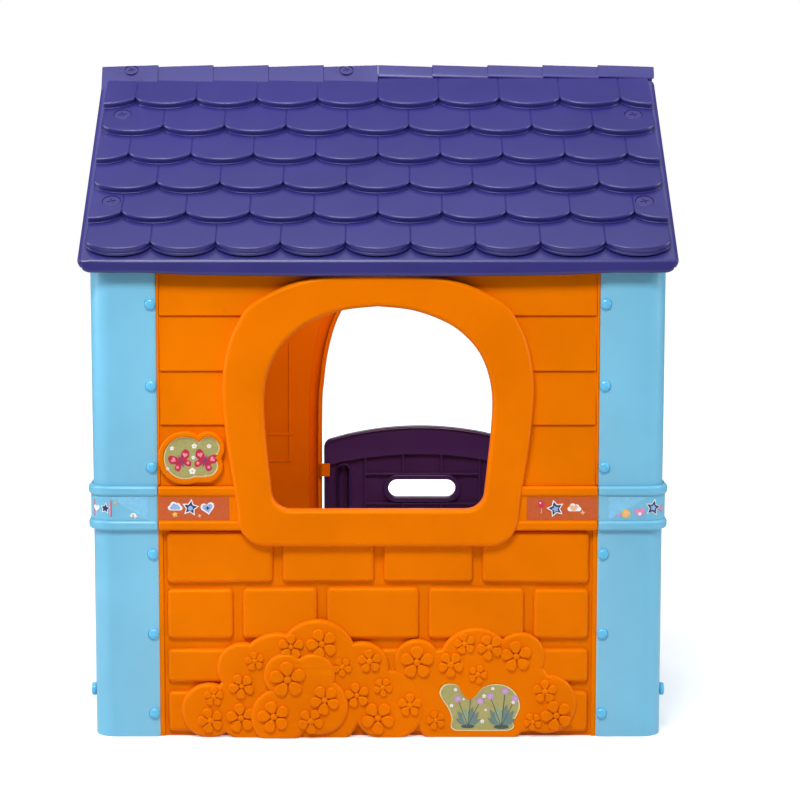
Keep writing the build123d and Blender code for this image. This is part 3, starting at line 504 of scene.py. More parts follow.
for side in (-1, 1):
    fill_in = plate([[(side * 0.5425, 0.85), (side * 0.5425, 0.905)] + [
        (side * (0.5165 + 0.0205 * cos(pi / 2 * step / 8)), 0.887 - 0.0205 * sin(pi / 2 * step / 8))
        for step in range(9)] + [(side * 0.5165, 0.85)]], 0.394, 0.45, 0.0, from_front, 1)
    combine(cavity, fill_in)
combine(shell_box, cavity)

# The ridge: five cap tiles to each half, every one tipped up a little over the next.
cap_foot = 0.0425
cap_lean = radians(53)                    # how steeply the cap's sides fall
cap_side = sin(cap_lean) / cos(cap_lean)
cap_top = 1.2452
cap_length = (roof_half - 0.0004) / 5
peak = cap_top + 0.0033
flap_y = 0.016
cap_view = [(-cap_foot - 0.004, peak - (cap_foot + 0.004) * cap_side)]
for step in range(9):
    angle = cap_lean - 2 * cap_lean * step / 8
    cap_view.append((-0.005 * sin(angle), cap_top - 0.005 + 0.005 * cos(angle)))
cap_view += [(flap_y, peak - flap_y * cap_side), (flap_y, peak - flap_y * cap_side - 0.006),
             (0.0, peak - 0.012), (-cap_foot - 0.004, peak - (cap_foot + 0.004) * cap_side - 0.012)]
cap = across_plate(cap_view, 0, cap_length + 0.002, 0.0014, 3)
caps = []
cap_tip = Matrix.Translation((cap_length, 0, peak)) @ Matrix.Rotation(-atan(0.0035 / cap_length),
                                                                      4, "Y") \
    @ Matrix.Translation((-cap_length, 0, -peak))
for index in range(5):
    caps.append(twin(cap, Matrix.Translation((index * cap_length - roof_half, 0, 0)) @ cap_tip))
bpy.data.objects.remove(cap)
trim(caps[0], (-roof_half, 0, 0), (-1, 0, 0))
trim(caps[-1], (-0.0003, 0, 0), (1, 0, 0))
screw_spots = []
for side in (-1, 1):
    for reach in (0.1377, 0.3937):
        row_reach = first_row + row_step * (1 if reach < 0.2 else 4)
        lift = tile_lift * (1 - (row_reach - reach) / row_step)
        screw_spots.append(slope @ Matrix.Translation((side * 0.491, -reach, lift))
                           @ Matrix.Rotation(-tile_tilt, 4, "X"))
for spot in screw_spots:
    for piece in tiles:
        corners = [corner.co for corner in piece.data.vertices]
        if (sum(corners, Vector()) / len(corners) - spot.translation).length < 0.08:
            combine(piece, rod(0.0173, 0.008, vertices=48, place=spot))
ridge_spots = [Matrix.Translation((x, -0.0075, cap_top - 0.0125))
               @ Matrix.Rotation(radians(38), 4, "X") for x in (-0.484, -0.062)]
for spot, piece in zip(ridge_spots, (caps[0], caps[4])):
    combine(piece, rod(0.0136, 0.02, (0, 0, 0.0102), place=spot))
roof_front = join(tiles + tile_feet + [shell_box] + caps, "roof_panel_front_skin")
dress_both(roof_front, turn_back, "roof_panel_back_skin", purple_plastic, "purple_plastic",
           "roof_panel_front", "roof_panel_back")

# ---- Window wall
# One orange polypropylene panel: lap siding over a belt, four courses of bricks below it, a wide
# rounded frame round the open window, three flowering bushes, and a small cloud-shaped boss.
# The orange's painted edge highlight is kept faint.
orange_plastic = moulded_plastic("orange_plastic", (0.78, 0.168, 0.0), 0.40, (0.98, 0.36, 0.0),
                                 tint=(1, 0.45, 0.02), edge_highlight_strength=0.08)
panel_edge = 0.4026
panel_skin = 0.390
panel_back = 0.386
wall_top = 0.861
relief_back = 0.3872                     # the moulded relief is rooted in the skin
belt_ribs, rib_height = (0.388, 0.452), 0.018
belt_field = (0.4015, 0.4585)
brick_gap = 0.008                        # half the mortar between two bricks
stand_up = Matrix.Rotation(pi / 2, 4, "X")   # a drawing in X and Y stood up, facing -Y
brick_courses = [
    (0.288, 0.385, (-0.458, 0.004, 0.454)),
    (0.184, 0.278, (-0.641, -0.256, 0.208, 0.689)),
    (0.102, 0.166, (-0.50, -0.02, 0.40)),
    (0.009, 0.086, (-0.62, -0.10, 0.30, 0.74)),
]


def smooth(points, count=6):
    """A smooth line through a few points, from the first to the last."""
    line = []
    for index in range(len(points) - 1):
        before = points[max(index - 1, 0)]
        start, end = points[index], points[index + 1]
        after = points[min(index + 2, len(points) - 1)]
        for step in range(count):
            t = step / count
            line.append(tuple(0.5 * (2 * b + (c - a) * t + (2 * a - 5 * b + 4 * c - d) * t * t
                                     + (3 * b - a - 3 * c + d) * t * t * t)
                              for a, b, c, d in zip(before, start, end, after)))
    return line + [points[-1]]


def arched(side, foot_round, centre=0.0):
    """An arched outline from its right side, foot first and crown last, and the mirror of it."""
    line = smooth(side)
    if foot_round:
        line = corner_arc((0, side[0][1]), side[0], side[1], foot_round) + \
            [point for point in line if point[1] > side[0][1] + foot_round * 1.1]
    mirror = [(-x, y) for x, y in reversed(line[:-1])]
    return [(x + centre, y) for x, y in line + mirror]


def rectangle(left, right, low, high):
    return [(left, low), (right, low), (right, high), (left, high)]


def between(inner, outer, share):
    return [(a + (c - a) * share, b + (d - b) * share) for (a, b), (c, d) in zip(inner, outer)]


# right-hand halves of the window frame, from the sill up to the crown
window_inside = [(0.191, 0.428), (0.1985, 0.500), (0.2055, 0.570), (0.2080, 0.628), (0.2010, 0.674),
                 (0.1845, 0.714), (0.1580, 0.746), (0.1220, 0.771), (0.0640, 0.792), (0.0, 0.7995)]
window_outside = [(0.252, 0.359), (0.2605, 0.444), (0.2745, 0.536), (0.2825, 0.618),
                  (0.2830, 0.668),
                  (0.2740, 0.722), (0.2560, 0.768), (0.2220, 0.810), (0.1250, 0.850), (0.0, 0.8585)]


def window_line(share):
    return arched(between(window_inside, window_outside, share), 0.034 + 0.020 * share)


def brick(x0, x1, z0, z1, face, back):
    """A brick moulded on a wall, its front and its corners rounded and its back left sharp."""
    piece = block((x0, -face, z0), (x1, -back, z1), 0)
    bpy.ops.object.mode_set(mode="EDIT")
    bpy.ops.mesh.select_mode(type="EDGE")
    bpy.ops.mesh.select_all(action="DESELECT")
    bpy.ops.object.mode_set(mode="OBJECT")
    for line in piece.data.edges:
        ends = [piece.data.vertices[index].co.y for index in line.vertices]
        line.select = abs(ends[0] - ends[1]) > 0.001 or max(ends) < -face + 0.0001
    bpy.ops.object.mode_set(mode="EDIT")
    bpy.ops.mesh.bevel(offset=0.0092, segments=5, affect="EDGES")
    bpy.ops.object.mode_set(mode="OBJECT")
    return piece


def courses(half, margin, face, back, floor=0.0):
    """The four courses of bricks, with the mortar between them."""
    bricks = []
    for low, high, joints in brick_courses:
        stops = [-half + margin - brick_gap] + [joint * half for joint in joints]
        stops.append(half - margin + brick_gap)
        for left, right in zip(stops, stops[1:]):
            bricks.append(brick(left + brick_gap, right - brick_gap, max(low, floor), high,
                                face, back))
    for piece in bricks:                  # the joint under the top course rises towards the middle
        for corner in piece.data.vertices:
            near = max(0, 1 - abs(corner.co.z - 0.283) / 0.016)
            corner.co.z += 0.0058 * near * max(0, 1 - (corner.co.x / 0.36) ** 2)
    return bricks


def lap_siding(edges, half, face, back, step=0.005, start=None):
    """Planks that lap over each other, each one proud at its lower edge."""
    planks = []
    for low, high in zip(edges, edges[1:]):
        side_view = [(-face, low), (-face + step, high), (-back, high), (-back, low)]
        planks.append(across_plate(side_view, -half if start is None else start, half, 0.0, 1))
        soften(planks[-1], 0.0022, 3)
    return planks


def cut_each(pieces, outline, low, high, place):
    """Cuts an opening through each piece that reaches into it, and drops what falls out whole."""
    left = []
    for piece in pieces:
        combine(piece, plate([outline], low, high, 0.0, place, 1))
        if piece.data.vertices:
            left.append(piece)
        else:
            bpy.data.objects.remove(piece)
    return left


def long_wall(opening, hole):
    """What the two long walls share: skin, planks, belt, bricks and snap flanges."""
    skin = plate([rectangle(-panel_edge, panel_edge, 0.0, wall_top), hole],
                 panel_back, panel_skin, 0.0008, stand_up, 1)
    relief = lap_siding([0.4695, 0.582, 0.681, 0.782, 0.886], panel_edge - 0.0045, 0.399,
                        relief_back)
    for low in belt_ribs:
        relief.append(block((-panel_edge, -0.409, low),
                            (panel_edge, -relief_back, low + rib_height),
                            0.0055, steps=5))
    relief.append(block((-panel_edge, -0.405, belt_field[0]), (panel_edge, -0.3874, belt_field[1]),
                        0.0006, steps=1))
    relief += courses(0.403, 0.014, 0.400, relief_back)
    pieces = [skin] + cut_each(relief, opening, 0.30, 0.45, stand_up)
    for side in (-1, 1):                  # end strips, snap flanges, and the steps beside them
        for near, far, front, back, low, edge, steps in (
                (-0.0042, 0.0, -0.3995, -0.3874, 0.4715, 0.0014, 2),
                (-0.008, 0.027, -0.3955, -0.3915, 0.0005, 0.0008, 1),
                (-0.008, -0.0006, -0.3952, -0.3864, 0.0005, 0.0006, 1)):
            inner, outer = sorted((side * (panel_edge + near), side * (panel_edge + far)))
            pieces.append(block((inner, front, low), (outer, back, wall_top), edge, steps=steps))
    return pieces


def frame_ring(line, face, edge=0.0092):
    """A wide frame round an opening, fully rounded, with a channel along its back."""
    ring = plate([line(1.0), line(0.0)], panel_back + 0.0006, face, edge, stand_up, 6)
    return combine(ring, plate([line(0.87), line(0.13)], 0.38, face - 0.0065, 0.004, stand_up, 2))


def round_lobes(circles, face, edge, back=0.3875):
    """Round lobes of equal height run together into one cushion, flat where it meets the ground."""
    cushion = None
    for x, z, radius in circles:
        ring = [(x + radius * cos(2 * pi * step / 60), z + radius * sin(2 * pi * step / 60))
                for step in range(60)]
        lobe = plate([ring], back, face, edge, stand_up, 5)
        cushion = combine(cushion, lobe, "UNION") if cushion else lobe
    return cushion


def petal(reach, width, rise):
    """One broad-ended petal, pointing along +Y, on the plane Z = 0."""
    line = []
    for step in range(22):
        angle = 2 * pi * step / 22
        along = 0.60 + 0.40 * sin(angle)
        across = width * cos(angle) * (0.60 + 0.40 * (along - 0.20) / 0.80)
        line.append((across * reach, along * reach))
    return plate([line], -0.004, rise, 0.0027, Matrix(), 4)


def flower(petal_width, centre, rise):
    """A five-petal flower, 24 mm from its middle to a petal's end."""
    reach = 0.024
    one = petal(reach, petal_width, rise)
    petals = [one] + [twin(one, Matrix.Rotation(2 * pi * turn / 5, 4, "Z")) for turn in range(1, 5)]
    bpy.ops.mesh.primitive_uv_sphere_add(segments=20, ring_count=12, radius=centre * reach)
    ball = bpy.context.object
    ball.scale = (1, 1, 0.62)
    ball.location = (0, 0, rise * 0.45)
    petals.append(settle(ball))
    return join(petals, "flower")


window_wall = long_wall(window_line(0.45), window_line(0.45))
window_wall.append(frame_ring(window_line, 0.416))

large_lobes = [(-0.312, 0.050, 0.052), (-0.250, 0.130, 0.048), (-0.185, 0.125, 0.072),
               (-0.112, 0.150, 0.072), (-0.030, 0.128, 0.052), (0.020, 0.060, 0.068),
               (-0.120, 0.060, 0.090), (-0.235, 0.060, 0.070)]
small_lobes = [(-0.170, 0.118, 0.042), (-0.120, 0.118, 0.042), (-0.182, 0.040, 0.054),
               (-0.108, 0.060, 0.054), (-0.150, 0.080, 0.050)]
right_lobes = [(0.072, 0.140, 0.044), (0.120, 0.100, 0.066), (0.180, 0.138, 0.068),
               (0.262, 0.150, 0.047),
               (0.250, 0.080, 0.074), (0.312, 0.062, 0.056), (0.130, 0.040, 0.060), (0.210, 0.050,
                                                                                     0.070)]
large_face, small_face, right_face = 0.408, 0.416, 0.4055
large_bush = trim(round_lobes(large_lobes, large_face, 0.0085), (0, 0, 0.0008), (0, 0, -1))
small_bush = trim(round_lobes(small_lobes, small_face, 0.0085), (0, 0, 0.0012), (0, 0, -1))
right_bush = trim(round_lobes(right_lobes, right_face, 0.0075), (0, 0, 0.0010), (0, 0, -1))

picture_round = [(0.112, 0.082), (0.118, 0.099), (0.132, 0.103), (0.147, 0.099), (0.156, 0.083),
                 (0.168, 0.072), (0.180, 0.079), (0.192, 0.094), (0.213, 0.102), (0.237, 0.099),
                 (0.255, 0.085), (0.264, 0.061), (0.258, 0.040), (0.251, 0.028), (0.253, 0.018),
                 (0.245, 0.0115), (0.230, 0.0105), (0.155, 0.0105), (0.140, 0.0115), (0.133, 0.019),
                 (0.135, 0.035), (0.128, 0.055)]
picture_line = smooth(picture_round[-2:] + picture_round + picture_round[:2], 4)[8:-5]
picture_pocket = plate([picture_line], right_face - 0.0016, right_face + 0.01, 0.0006, stand_up, 1)
combine(right_bush, picture_pocket)

open_flower = flower(0.43, 0.22, 0.0056)
full_flower = flower(0.45, 0.29, 0.0052)
beds = [
    (large_face, [(-0.227, 0.145, 18, 1, 10), (-0.160, 0.172, 24, 0, 0), (-0.103, 0.177, 29, 0, 20),
                  (-0.066, 0.134, 18, 1, 36), (-0.015, 0.145, 22, 1, 5), (-0.251, 0.098, 24, 0, 30),
                  (-0.303, 0.078, 18, 1, 0), (-0.309, 0.033, 24, 1, 20), (0.009, 0.096, 18, 1, 40),
                  (-0.039, 0.081, 24, 0, 12), (0.000, 0.038, 31, 0, 36), (0.059, 0.062, 22, 1, 0),
                  (-0.253, 0.038, 28, 0, 8)]),
    (small_face, [(-0.166, 0.112, 34, 0, 4), (-0.098, 0.074, 28, 0, 30), (-0.192, 0.042, 30, 0, 14),
                  (-0.124, 0.034, 24, 1, 40)]),
    (right_face, [(0.072, 0.142, 31, 0, 0), (0.134, 0.138, 24, 1, 36), (0.160, 0.177, 20, 1, 12),
                  (0.206, 0.170, 24, 1, 24), (0.255, 0.153, 29, 0, 6), (0.184, 0.119, 18, 1, 50),
                  (0.107, 0.033, 18, 1, 18), (0.308, 0.087, 22, 1, 0), (0.286, 0.030, 17, 1, 30),
                  (0.330, 0.042, 29, 0, 22)]),
]
blooms = []
for face, places in beds:
    for x, z, reach, kind, turn in places:
        size = reach / 24
        spread = Matrix.Diagonal((size, size, 1 if size > 0.9 else 0.85, 1))
        place = Matrix.Translation((x, -face, z)) @ stand_up @ Matrix.Rotation(radians(turn), 4,
                                                                               "Z") @ spread
        blooms.append(twin(full_flower if kind else open_flower, place))
bpy.data.objects.remove(open_flower)
bpy.data.objects.remove(full_flower)

boss_lobes = [(-0.352, 0.522, 0.049), (-0.309, 0.541, 0.030), (-0.312, 0.508, 0.030)]
boss_face = 0.4085


def cloud_boss(shrink, back, face, edge):
    cloud = round_lobes([(x, z, radius - shrink) for x, z, radius in boss_lobes], face, edge, back)
    foot = [(-0.366 + shrink, 0.477 + shrink), (-0.298 - shrink, 0.477 + shrink),
            (-0.298 - shrink, 0.520), (-0.366 + shrink, 0.520)]
    line = corner_arc(foot[3], foot[0], foot[1], 0.010) + corner_arc(foot[0], foot[1], foot[2],
                                                                     0.010) + foot[2:]
    return combine(cloud, plate([line], back, face, edge, stand_up, 4), "UNION")


boss = cloud_boss(0, 0.3875, boss_face, 0.0035)
combine(boss, cloud_boss(0.0085, boss_face - 0.0045, boss_face + 0.01, 0.0009))
combine(boss, plate([window_line(0.94)], 0.38, 0.43, 0.0, stand_up, 1))
window_wall += [large_bush, small_bush, right_bush, boss] + blooms

nub_places = [(-0.278, 0.792), (0.300, 0.792), (-0.352, 0.133), (0.352, 0.140), (0.020, 0.336)]
for x, z in nub_places:
    bpy.ops.mesh.primitive_torus_add(major_segments=20, minor_segments=8, major_radius=0.0026,
                                     minor_radius=0.0008)
    settle(bpy.context.object, Matrix.Translation((x, -0.3995 if z < 0.4 else -0.3985, z))
           @ stand_up)
    window_wall.append(bpy.context.object)
window_wall = join(window_wall, "window_wall_skin")
dress(window_wall, orange_plastic, "house", "orange_plastic", "window_wall")

# ---- Door wall
# The second orange panel, at the back: the same siding, belt and bricks round an open doorway, with
# two lugs for the hinge pins on one jamb and a tab on the other that stops the half door.
doorway_middle = -0.096                  # seen from outside, before the wall is turned to the back
doorway_half = 0.218
jamb, latch = doorway_middle - doorway_half, doorway_middle + doorway_half

# right-hand halves of the doorway's frame, from the ground up to the crown
doorway_inside = [(0.218, 0.030), (0.218, 0.480), (0.2135, 0.575), (0.2035, 0.646), (0.1850, 0.709),
                  (0.1580, 0.755), (0.1180, 0.788), (0.0640, 0.806), (0.0, 0.812)]
doorway_outside = [(0.281, 0.0005), (0.281, 0.480), (0.2790, 0.575), (0.2720, 0.650),
                   (0.2560, 0.717),
                   (0.2280, 0.775), (0.1800, 0.822), (0.1000, 0.850), (0.0, 0.858)]


def doorway_line(share):
    return arched(between(doorway_inside, doorway_outside, share), 0, doorway_middle)


middle_line = doorway_line(0.45)
door_wall = long_wall(middle_line, middle_line)
door_wall.append(frame_ring(doorway_line, 0.412, 0.008))
hinge_x, hinge_y = -0.298, 0.395
hinge_heights = (0.102, 0.392)
for height in hinge_heights:
    axis = (hinge_x, -hinge_y, height)
    lug = block((jamb - 0.004, -hinge_y, height - 0.012), (hinge_x, -0.384, height + 0.012),
                0.001, steps=2)
    knuckle = combine(soften(rod(0.011, 0.024, axis), 0.001, 2), lug, "UNION")
    door_wall.append(combine(knuckle, rod(0.0043, 0.04, axis, vertices=32)))
door_wall.append(block((latch - 0.017, -0.3826, 0.369), (latch + 0.005, -0.3776, 0.398), 0.0016,
                       steps=3))
door_wall.append(block((latch + 0.0005, -0.390, 0.369), (latch + 0.004, -0.3776, 0.398), 0.001,
                       steps=2))

# The inner side of the wall, round the doorway: raised strips along the joints of the siding.
for low, high, near, far in ((0.458, 0.464, 0.184, 0.392), (0.400, 0.4035, 0.190, 0.392),
                             (0.6575, 0.6605, 0.226, 0.392), (0.400, 0.6605, 0.1905, 0.1945)):
    door_wall.append(block((near, -0.3868, low), (far, -0.3835, high), 0.0012, steps=2))
door_wall = join(door_wall, "door_wall_skin")
settle(door_wall, turn_back)
dress(door_wall, orange_plastic, "house", "orange_plastic", "door_wall")

# ---- Gable walls
# Two pale blue panels that wrap round the corners of the house. The belt runs on round them, and a
# sunk field on each outer face has the bricks, the siding and a small arched window.
blue_plastic = moulded_plastic("blue_plastic", (0.150, 0.48, 0.70), 0.34, (0.55, 0.86, 0.95))
wall_x, wall_y, corner_round = 0.525, 0.400, 0.038
across_house = Matrix.Diagonal((-1, 1, 1, 1))
return_edge = 0.4034


def round_the_house(rise, low, high, edge, back=0.004, steps=3, gable_back=0.004):
    """A band of the wall's plan outline, its outer face moved out by rise."""
    outer = [(return_edge, -wall_y - rise + 0.003), (return_edge + 0.006, -wall_y - rise)]
    inner = [(return_edge, -wall_y + back)]
    middle = (wall_x - corner_round, wall_y - corner_round)
    for step in range(13):
        angle = -pi / 2 + pi / 2 * step / 12
        reach = corner_round + rise
        outer.append((middle[0] + reach * cos(angle), -middle[1] + reach * sin(angle)))
        reach = corner_round - back
        inner.append((middle[0] + reach * cos(angle), -middle[1] + reach * sin(angle)))
    if gable_back > back:
        inner += [(wall_x - back, -0.339), (wall_x - gable_back, -0.338)]
    outer += [(x, -y) for x, y in reversed(outer)]
    inner += [(x, -y) for x, y in reversed(inner)]
    return plate([outer + inner[::-1]], low, high, edge, Matrix(), steps)


gable_inside = [(0.150, 0.530), (0.150, 0.600), (0.148, 0.660), (0.138, 0.706), (0.112, 0.738),
                (0.064, 0.754), (0.0, 0.758)]
gable_outside = [(0.196, 0.484), (0.196, 0.600), (0.193, 0.682), (0.178, 0.743), (0.143, 0.782),
                 (0.082, 0.800), (0.0, 0.804)]


def gable_line(share):
    return arched(between(gable_inside, gable_outside, share), 0.024 + 0.012 * share)


gable_shell = round_the_house(0, 0.0, wall_top, 0.0012, 0.004, 1, 0.011)
face_out = Matrix.Rotation(pi / 2, 4, "Z") @ stand_up
side_turn = Matrix.Rotation(pi / 2, 4, "Z")
for low, high in ((0.012, 0.380), (0.478, 0.819)):
    recess = block((-0.334, -0.54, low), (0.334, -0.518, high), 0.004, side_turn, 3)
    combine(gable_shell, recess)
combine(gable_shell, plate([gable_line(0.45)], 0.48, 0.56, 0.0, face_out, 1))
gable_relief = courses(0.320, 0.0, 0.5248, 0.5165, 0.020)
gable_relief += lap_siding([0.681, 0.782, 0.812], 0.3185, 0.5248, 0.5165, 0.004)
gable_relief = [settle(piece, side_turn) for piece in gable_relief]
gable_pieces = [gable_shell] + cut_each(gable_relief, gable_line(0.45), 0.48, 0.56, face_out)
for plank in lap_siding([0.486, 0.582, 0.681], 0.3185, 0.5248, 0.5165, 0.004, start=0.170):
    settle(plank, side_turn)
    gable_pieces += [plank, twin(plank, Matrix.Diagonal((1, -1, 1, 1)), True)]
ring = plate([gable_line(1.0), gable_line(0.0)], 0.5145, 0.5345, 0.007, face_out, 5)
gable_pieces.append(combine(ring, plate([gable_line(0.84), gable_line(0.16)], 0.50, 0.5285, 0.003,
                                        face_out, 2)))
for low in belt_ribs:
    gable_pieces.append(round_the_house(0.009, low, low + rib_height, 0.0055, 0.002, 5))
gable_pieces.append(round_the_house(0.005, *belt_field, 0.0006, 0.002, 1))
rivet_heights = (0.044, 0.194, 0.343, 0.504, 0.654, 0.803)
rivet_x = 0.413
pad_line = []
for corner_x, corner_y, first in ((0.0005, 0.0055, 0), (-0.0005, 0.0055, 1), (-0.0005, -0.0055, 2),
                                  (0.0005, -0.0055, 3)):
    for step in range(7):
        angle = pi / 2 * (first + step / 6)
        pad_line.append((corner_x + 0.007 * cos(angle), corner_y + 0.007 * sin(angle)))
pad = plate([pad_line], 0.3985, 0.4015, 0.0009, stand_up, 2)
bpy.ops.mesh.primitive_torus_add(major_segments=40, minor_segments=10, major_radius=0.0112,
                                 minor_radius=0.0011)
collar = settle(bpy.context.object, Matrix.Translation((0, -0.4004, 0)) @ stand_up)
trim(collar, (-0.0062, 0, 0), (-1, 0, 0))
pad = join([pad, collar], "rivet_pad")
for side in (-1, 1):
    for height in rivet_heights:
        place = Matrix.Translation((rivet_x, 0, height))
        if side > 0:
            place = place @ Matrix.Diagonal((1, -1, 1, 1))
        gable_pieces.append(twin(pad, place, side > 0))
bpy.data.objects.remove(pad)
gable_right = join(gable_pieces, "gable_wall_right_skin")
dress_both(gable_right, across_house, "gable_wall_left_skin", blue_plastic, "blue_plastic",
           "gable_wall_right", "gable_wall_left", True)

# ---- Pediments
# The blue triangle over each gable wall, with a sunk middle, a ledge under the roof that takes the
# roof screws, and a tongue behind the wall's top edge.
under_roof = 1.2121


def triangle(inset, foot):
    side = 0.362 - inset
    top = under_roof - inset / cos(pitch)
    shoulder = top - 0.80978 * side
    return [(-side, foot), (side, foot), (side, shoulder), (0, top), (-side, shoulder)]


web = plate([triangle(0, 0.8614)], 0.5185, 0.5248, 0.0012, face_out, 2)
combine(web, plate([triangle(0.022, 0.880)], 0.521, 0.54, 0.0009, face_out, 1))
ledge = plate([triangle(0, 0.8614), triangle(0.0042, 0.865)], 0.465, 0.5205, 0.001, face_out, 1)
tongue = block((-0.342, -0.5206, 0.835), (0.342, -0.5166, 0.866), 0.0008, side_turn, 1)
pediment_right = join([web, ledge, tongue], "pediment_right_skin")
dress_both(pediment_right, turn_back, "pediment_left_skin", blue_plastic, "blue_plastic",
           "pediment_right", "pediment_left")

# ---- Half door
# A dark violet shell, open on the inner side, with thin ribs, a smooth band under its arched top
# edge, a rim round the letter slot, and a grip. Its round hinge edge turns on two pins.
door_plastic = moulded_plastic("door_plastic", (0.042, 0.016, 0.125), 0.30, (0.13, 0.08, 0.30))
door_left, door_right = hinge_x, doorway_middle + 0.214


def door_outline(inset=0.0):
    left, right, foot = door_left + inset, door_right - inset, 0.034 + inset
    top = arc((right, 0.447 - inset), (doorway_middle, 0.479 - inset), (left, 0.4478 - inset), 24)
    top.append((left, 0.4478 - inset))
    round_right = corner_arc((right, foot), top[0], top[3], 0.020 - inset)
    round_left = corner_arc(top[-4], top[-1], (left, foot), 0.020 - inset)
    return [(left, foot), (right, foot)] + round_right + top[3:-4] + round_left


def stadium(x, z, length, width, upright=False):
    """A slot shape: straight sides and half-round ends."""
    radius = width / 2
    line = []
    for end in (1, -1):
        for step in range(15):
            angle = -pi / 2 + pi * step / 14 + (0 if end > 0 else pi)
            line.append((end * (length / 2 - radius) + radius * cos(angle), radius * sin(angle)))
    return [(x - b, z + a) for a, b in line] if upright else [(x + a, z + b) for a, b in line]


door_shell = plate([door_outline()], 0.383, 0.407, 0.0048, stand_up, 4)
combine(door_shell, plate([door_outline(0.004)], 0.375, 0.403, 0.0015, stand_up, 1))
band_piece = plate([door_outline(0.0035)], 0.3895, 0.3945, 0.0012, stand_up, 2)
below_band = [(door_left - 0.05, -0.1), (door_right + 0.05, -0.1)] + \
    arc((door_right + 0.05, 0.376), (doorway_middle, 0.417), (door_left - 0.05, 0.376), 24)
combine(band_piece, plate([below_band], 0.37, 0.41, 0.0, stand_up, 1))
door_pieces = [door_shell, band_piece]
for index in range(4):
    x = doorway_middle + 0.124 - index * 0.0835
    door_pieces.append(block((x - 0.0015, -0.4035, 0.036), (x + 0.0015, -0.392, 0.414), 0.0006,
                             steps=2))
for z in (0.372, 0.307, 0.225, 0.140):
    door_pieces.append(block((doorway_middle - 0.1265, -0.4033, z - 0.0015),
                             (doorway_middle + 0.124, -0.3923, z + 0.0015), 0.0006, steps=2))
slot_z = 0.341
slot_line = stadium(doorway_middle, slot_z, 0.151, 0.043)
door_pieces = cut_each(door_pieces, slot_line, 0.37, 0.42, stand_up)
slot_rim = plate([stadium(doorway_middle, slot_z, 0.169, 0.061),
                  stadium(doorway_middle, slot_z, 0.147, 0.039)],
                 0.3885, 0.4092, 0.0028, stand_up, 4)
grip_x, grip_z = doorway_middle + 0.171, 0.332
door_pieces = cut_each(door_pieces, stadium(grip_x, grip_z, 0.126, 0.026, True), 0.37, 0.4175,
                       stand_up)
grip = plate([stadium(grip_x, grip_z, 0.132, 0.032, True)], 0.3885, 0.4218, 0.009, stand_up, 6)
combine(grip, plate([stadium(grip_x, grip_z, 0.124, 0.024, True)], 0.36, 0.4178, 0.006, stand_up,
                    3))
for height in hinge_heights:
    combine(door_pieces[0], rod(0.0132, 0.0264, (hinge_x, -hinge_y, height)))
barrels = []
for low, high in ((0.0342, 0.0888), (0.1152, 0.3788), (0.4052, 0.427)):
    barrel = rod(0.012, high - low, (hinge_x, -hinge_y, (low + high) / 2), vertices=48)
    barrels.append(soften(barrel, 0.001, 2))
half_door = join(door_pieces + [slot_rim, grip] + barrels, "half_door_skin")
settle(half_door, turn_back)
dress(half_door, door_plastic, "door", "door_plastic", "half_door")

# ---- Fasteners and plugs
# Push rivets of sky-blue nylon through the corners, purple cross-slot screws in the roof, white
# pins in the hinge, and a round plug low on each gable wall. One of each kind is modelled and copied.
rivet_plastic = moulded_plastic("rivet_plastic", (0.11, 0.50, 0.80), 0.24, (0.40, 0.78, 0.95), 0.1)
screw_plastic = moulded_plastic("screw_plastic", (0.038, 0.030, 0.175), 0.42, (0.20, 0.16, 0.45),
                                0.3)
pin_plastic = moulded_plastic("pin_plastic", (0.65, 0.66, 0.68), 0.35, (0.85, 0.85, 0.85), 0.1)
bpy.ops.mesh.primitive_uv_sphere_add(segments=36, ring_count=18, radius=0.0098)
head = bpy.context.object
head.scale = (1, 1, 0.5)
settle(head, Matrix.Translation((0, -0.4014, 0)) @ stand_up)
shaft = soften(rod(0.004, 0.013, vertices=24, place=Matrix.Translation((0, -0.3952, 0)) @ stand_up),
               0.0008, 2)
rivet = join([head, shaft], "snap_rivet")
for x_side, y_side, node_name in ((-1, -1, "rivets_front_left"), (1, -1, "rivets_front_right"),
                                  (-1, 1, "rivets_back_left"), (1, 1, "rivets_back_right")):
    row = []
    for height in rivet_heights:
        place = Matrix.Translation((x_side * rivet_x, 0, height))
        row.append(twin(rivet, place if y_side < 0 else place @ turn_back))
    row = join(row, node_name + "_set")
    dress(row, rivet_plastic, "house", "rivet_plastic", node_name)
bpy.data.objects.remove(rivet)


def cross_screw(radius, height, reach, shank):
    """A flat head with a soft rim and a cross slot, its top at Z = 0, on a plain shank."""
    disc = soften(rod(radius, height, (0, 0, -height / 2), vertices=48), 0.0008, 3)
    for turn in (0, pi / 2):
        arm = block((-radius * 0.5, -0.0013, -0.002), (radius * 0.5, 0.0013, 0.004), 0.0004,
                    Matrix.Rotation(turn + 0.3, 4, "Z"), 1)
        combine(disc, arm)
    stem = rod(shank, reach, (0, 0, -reach / 2 - height * 0.9), vertices=24)
    return join([disc, stem], "cross_screw")


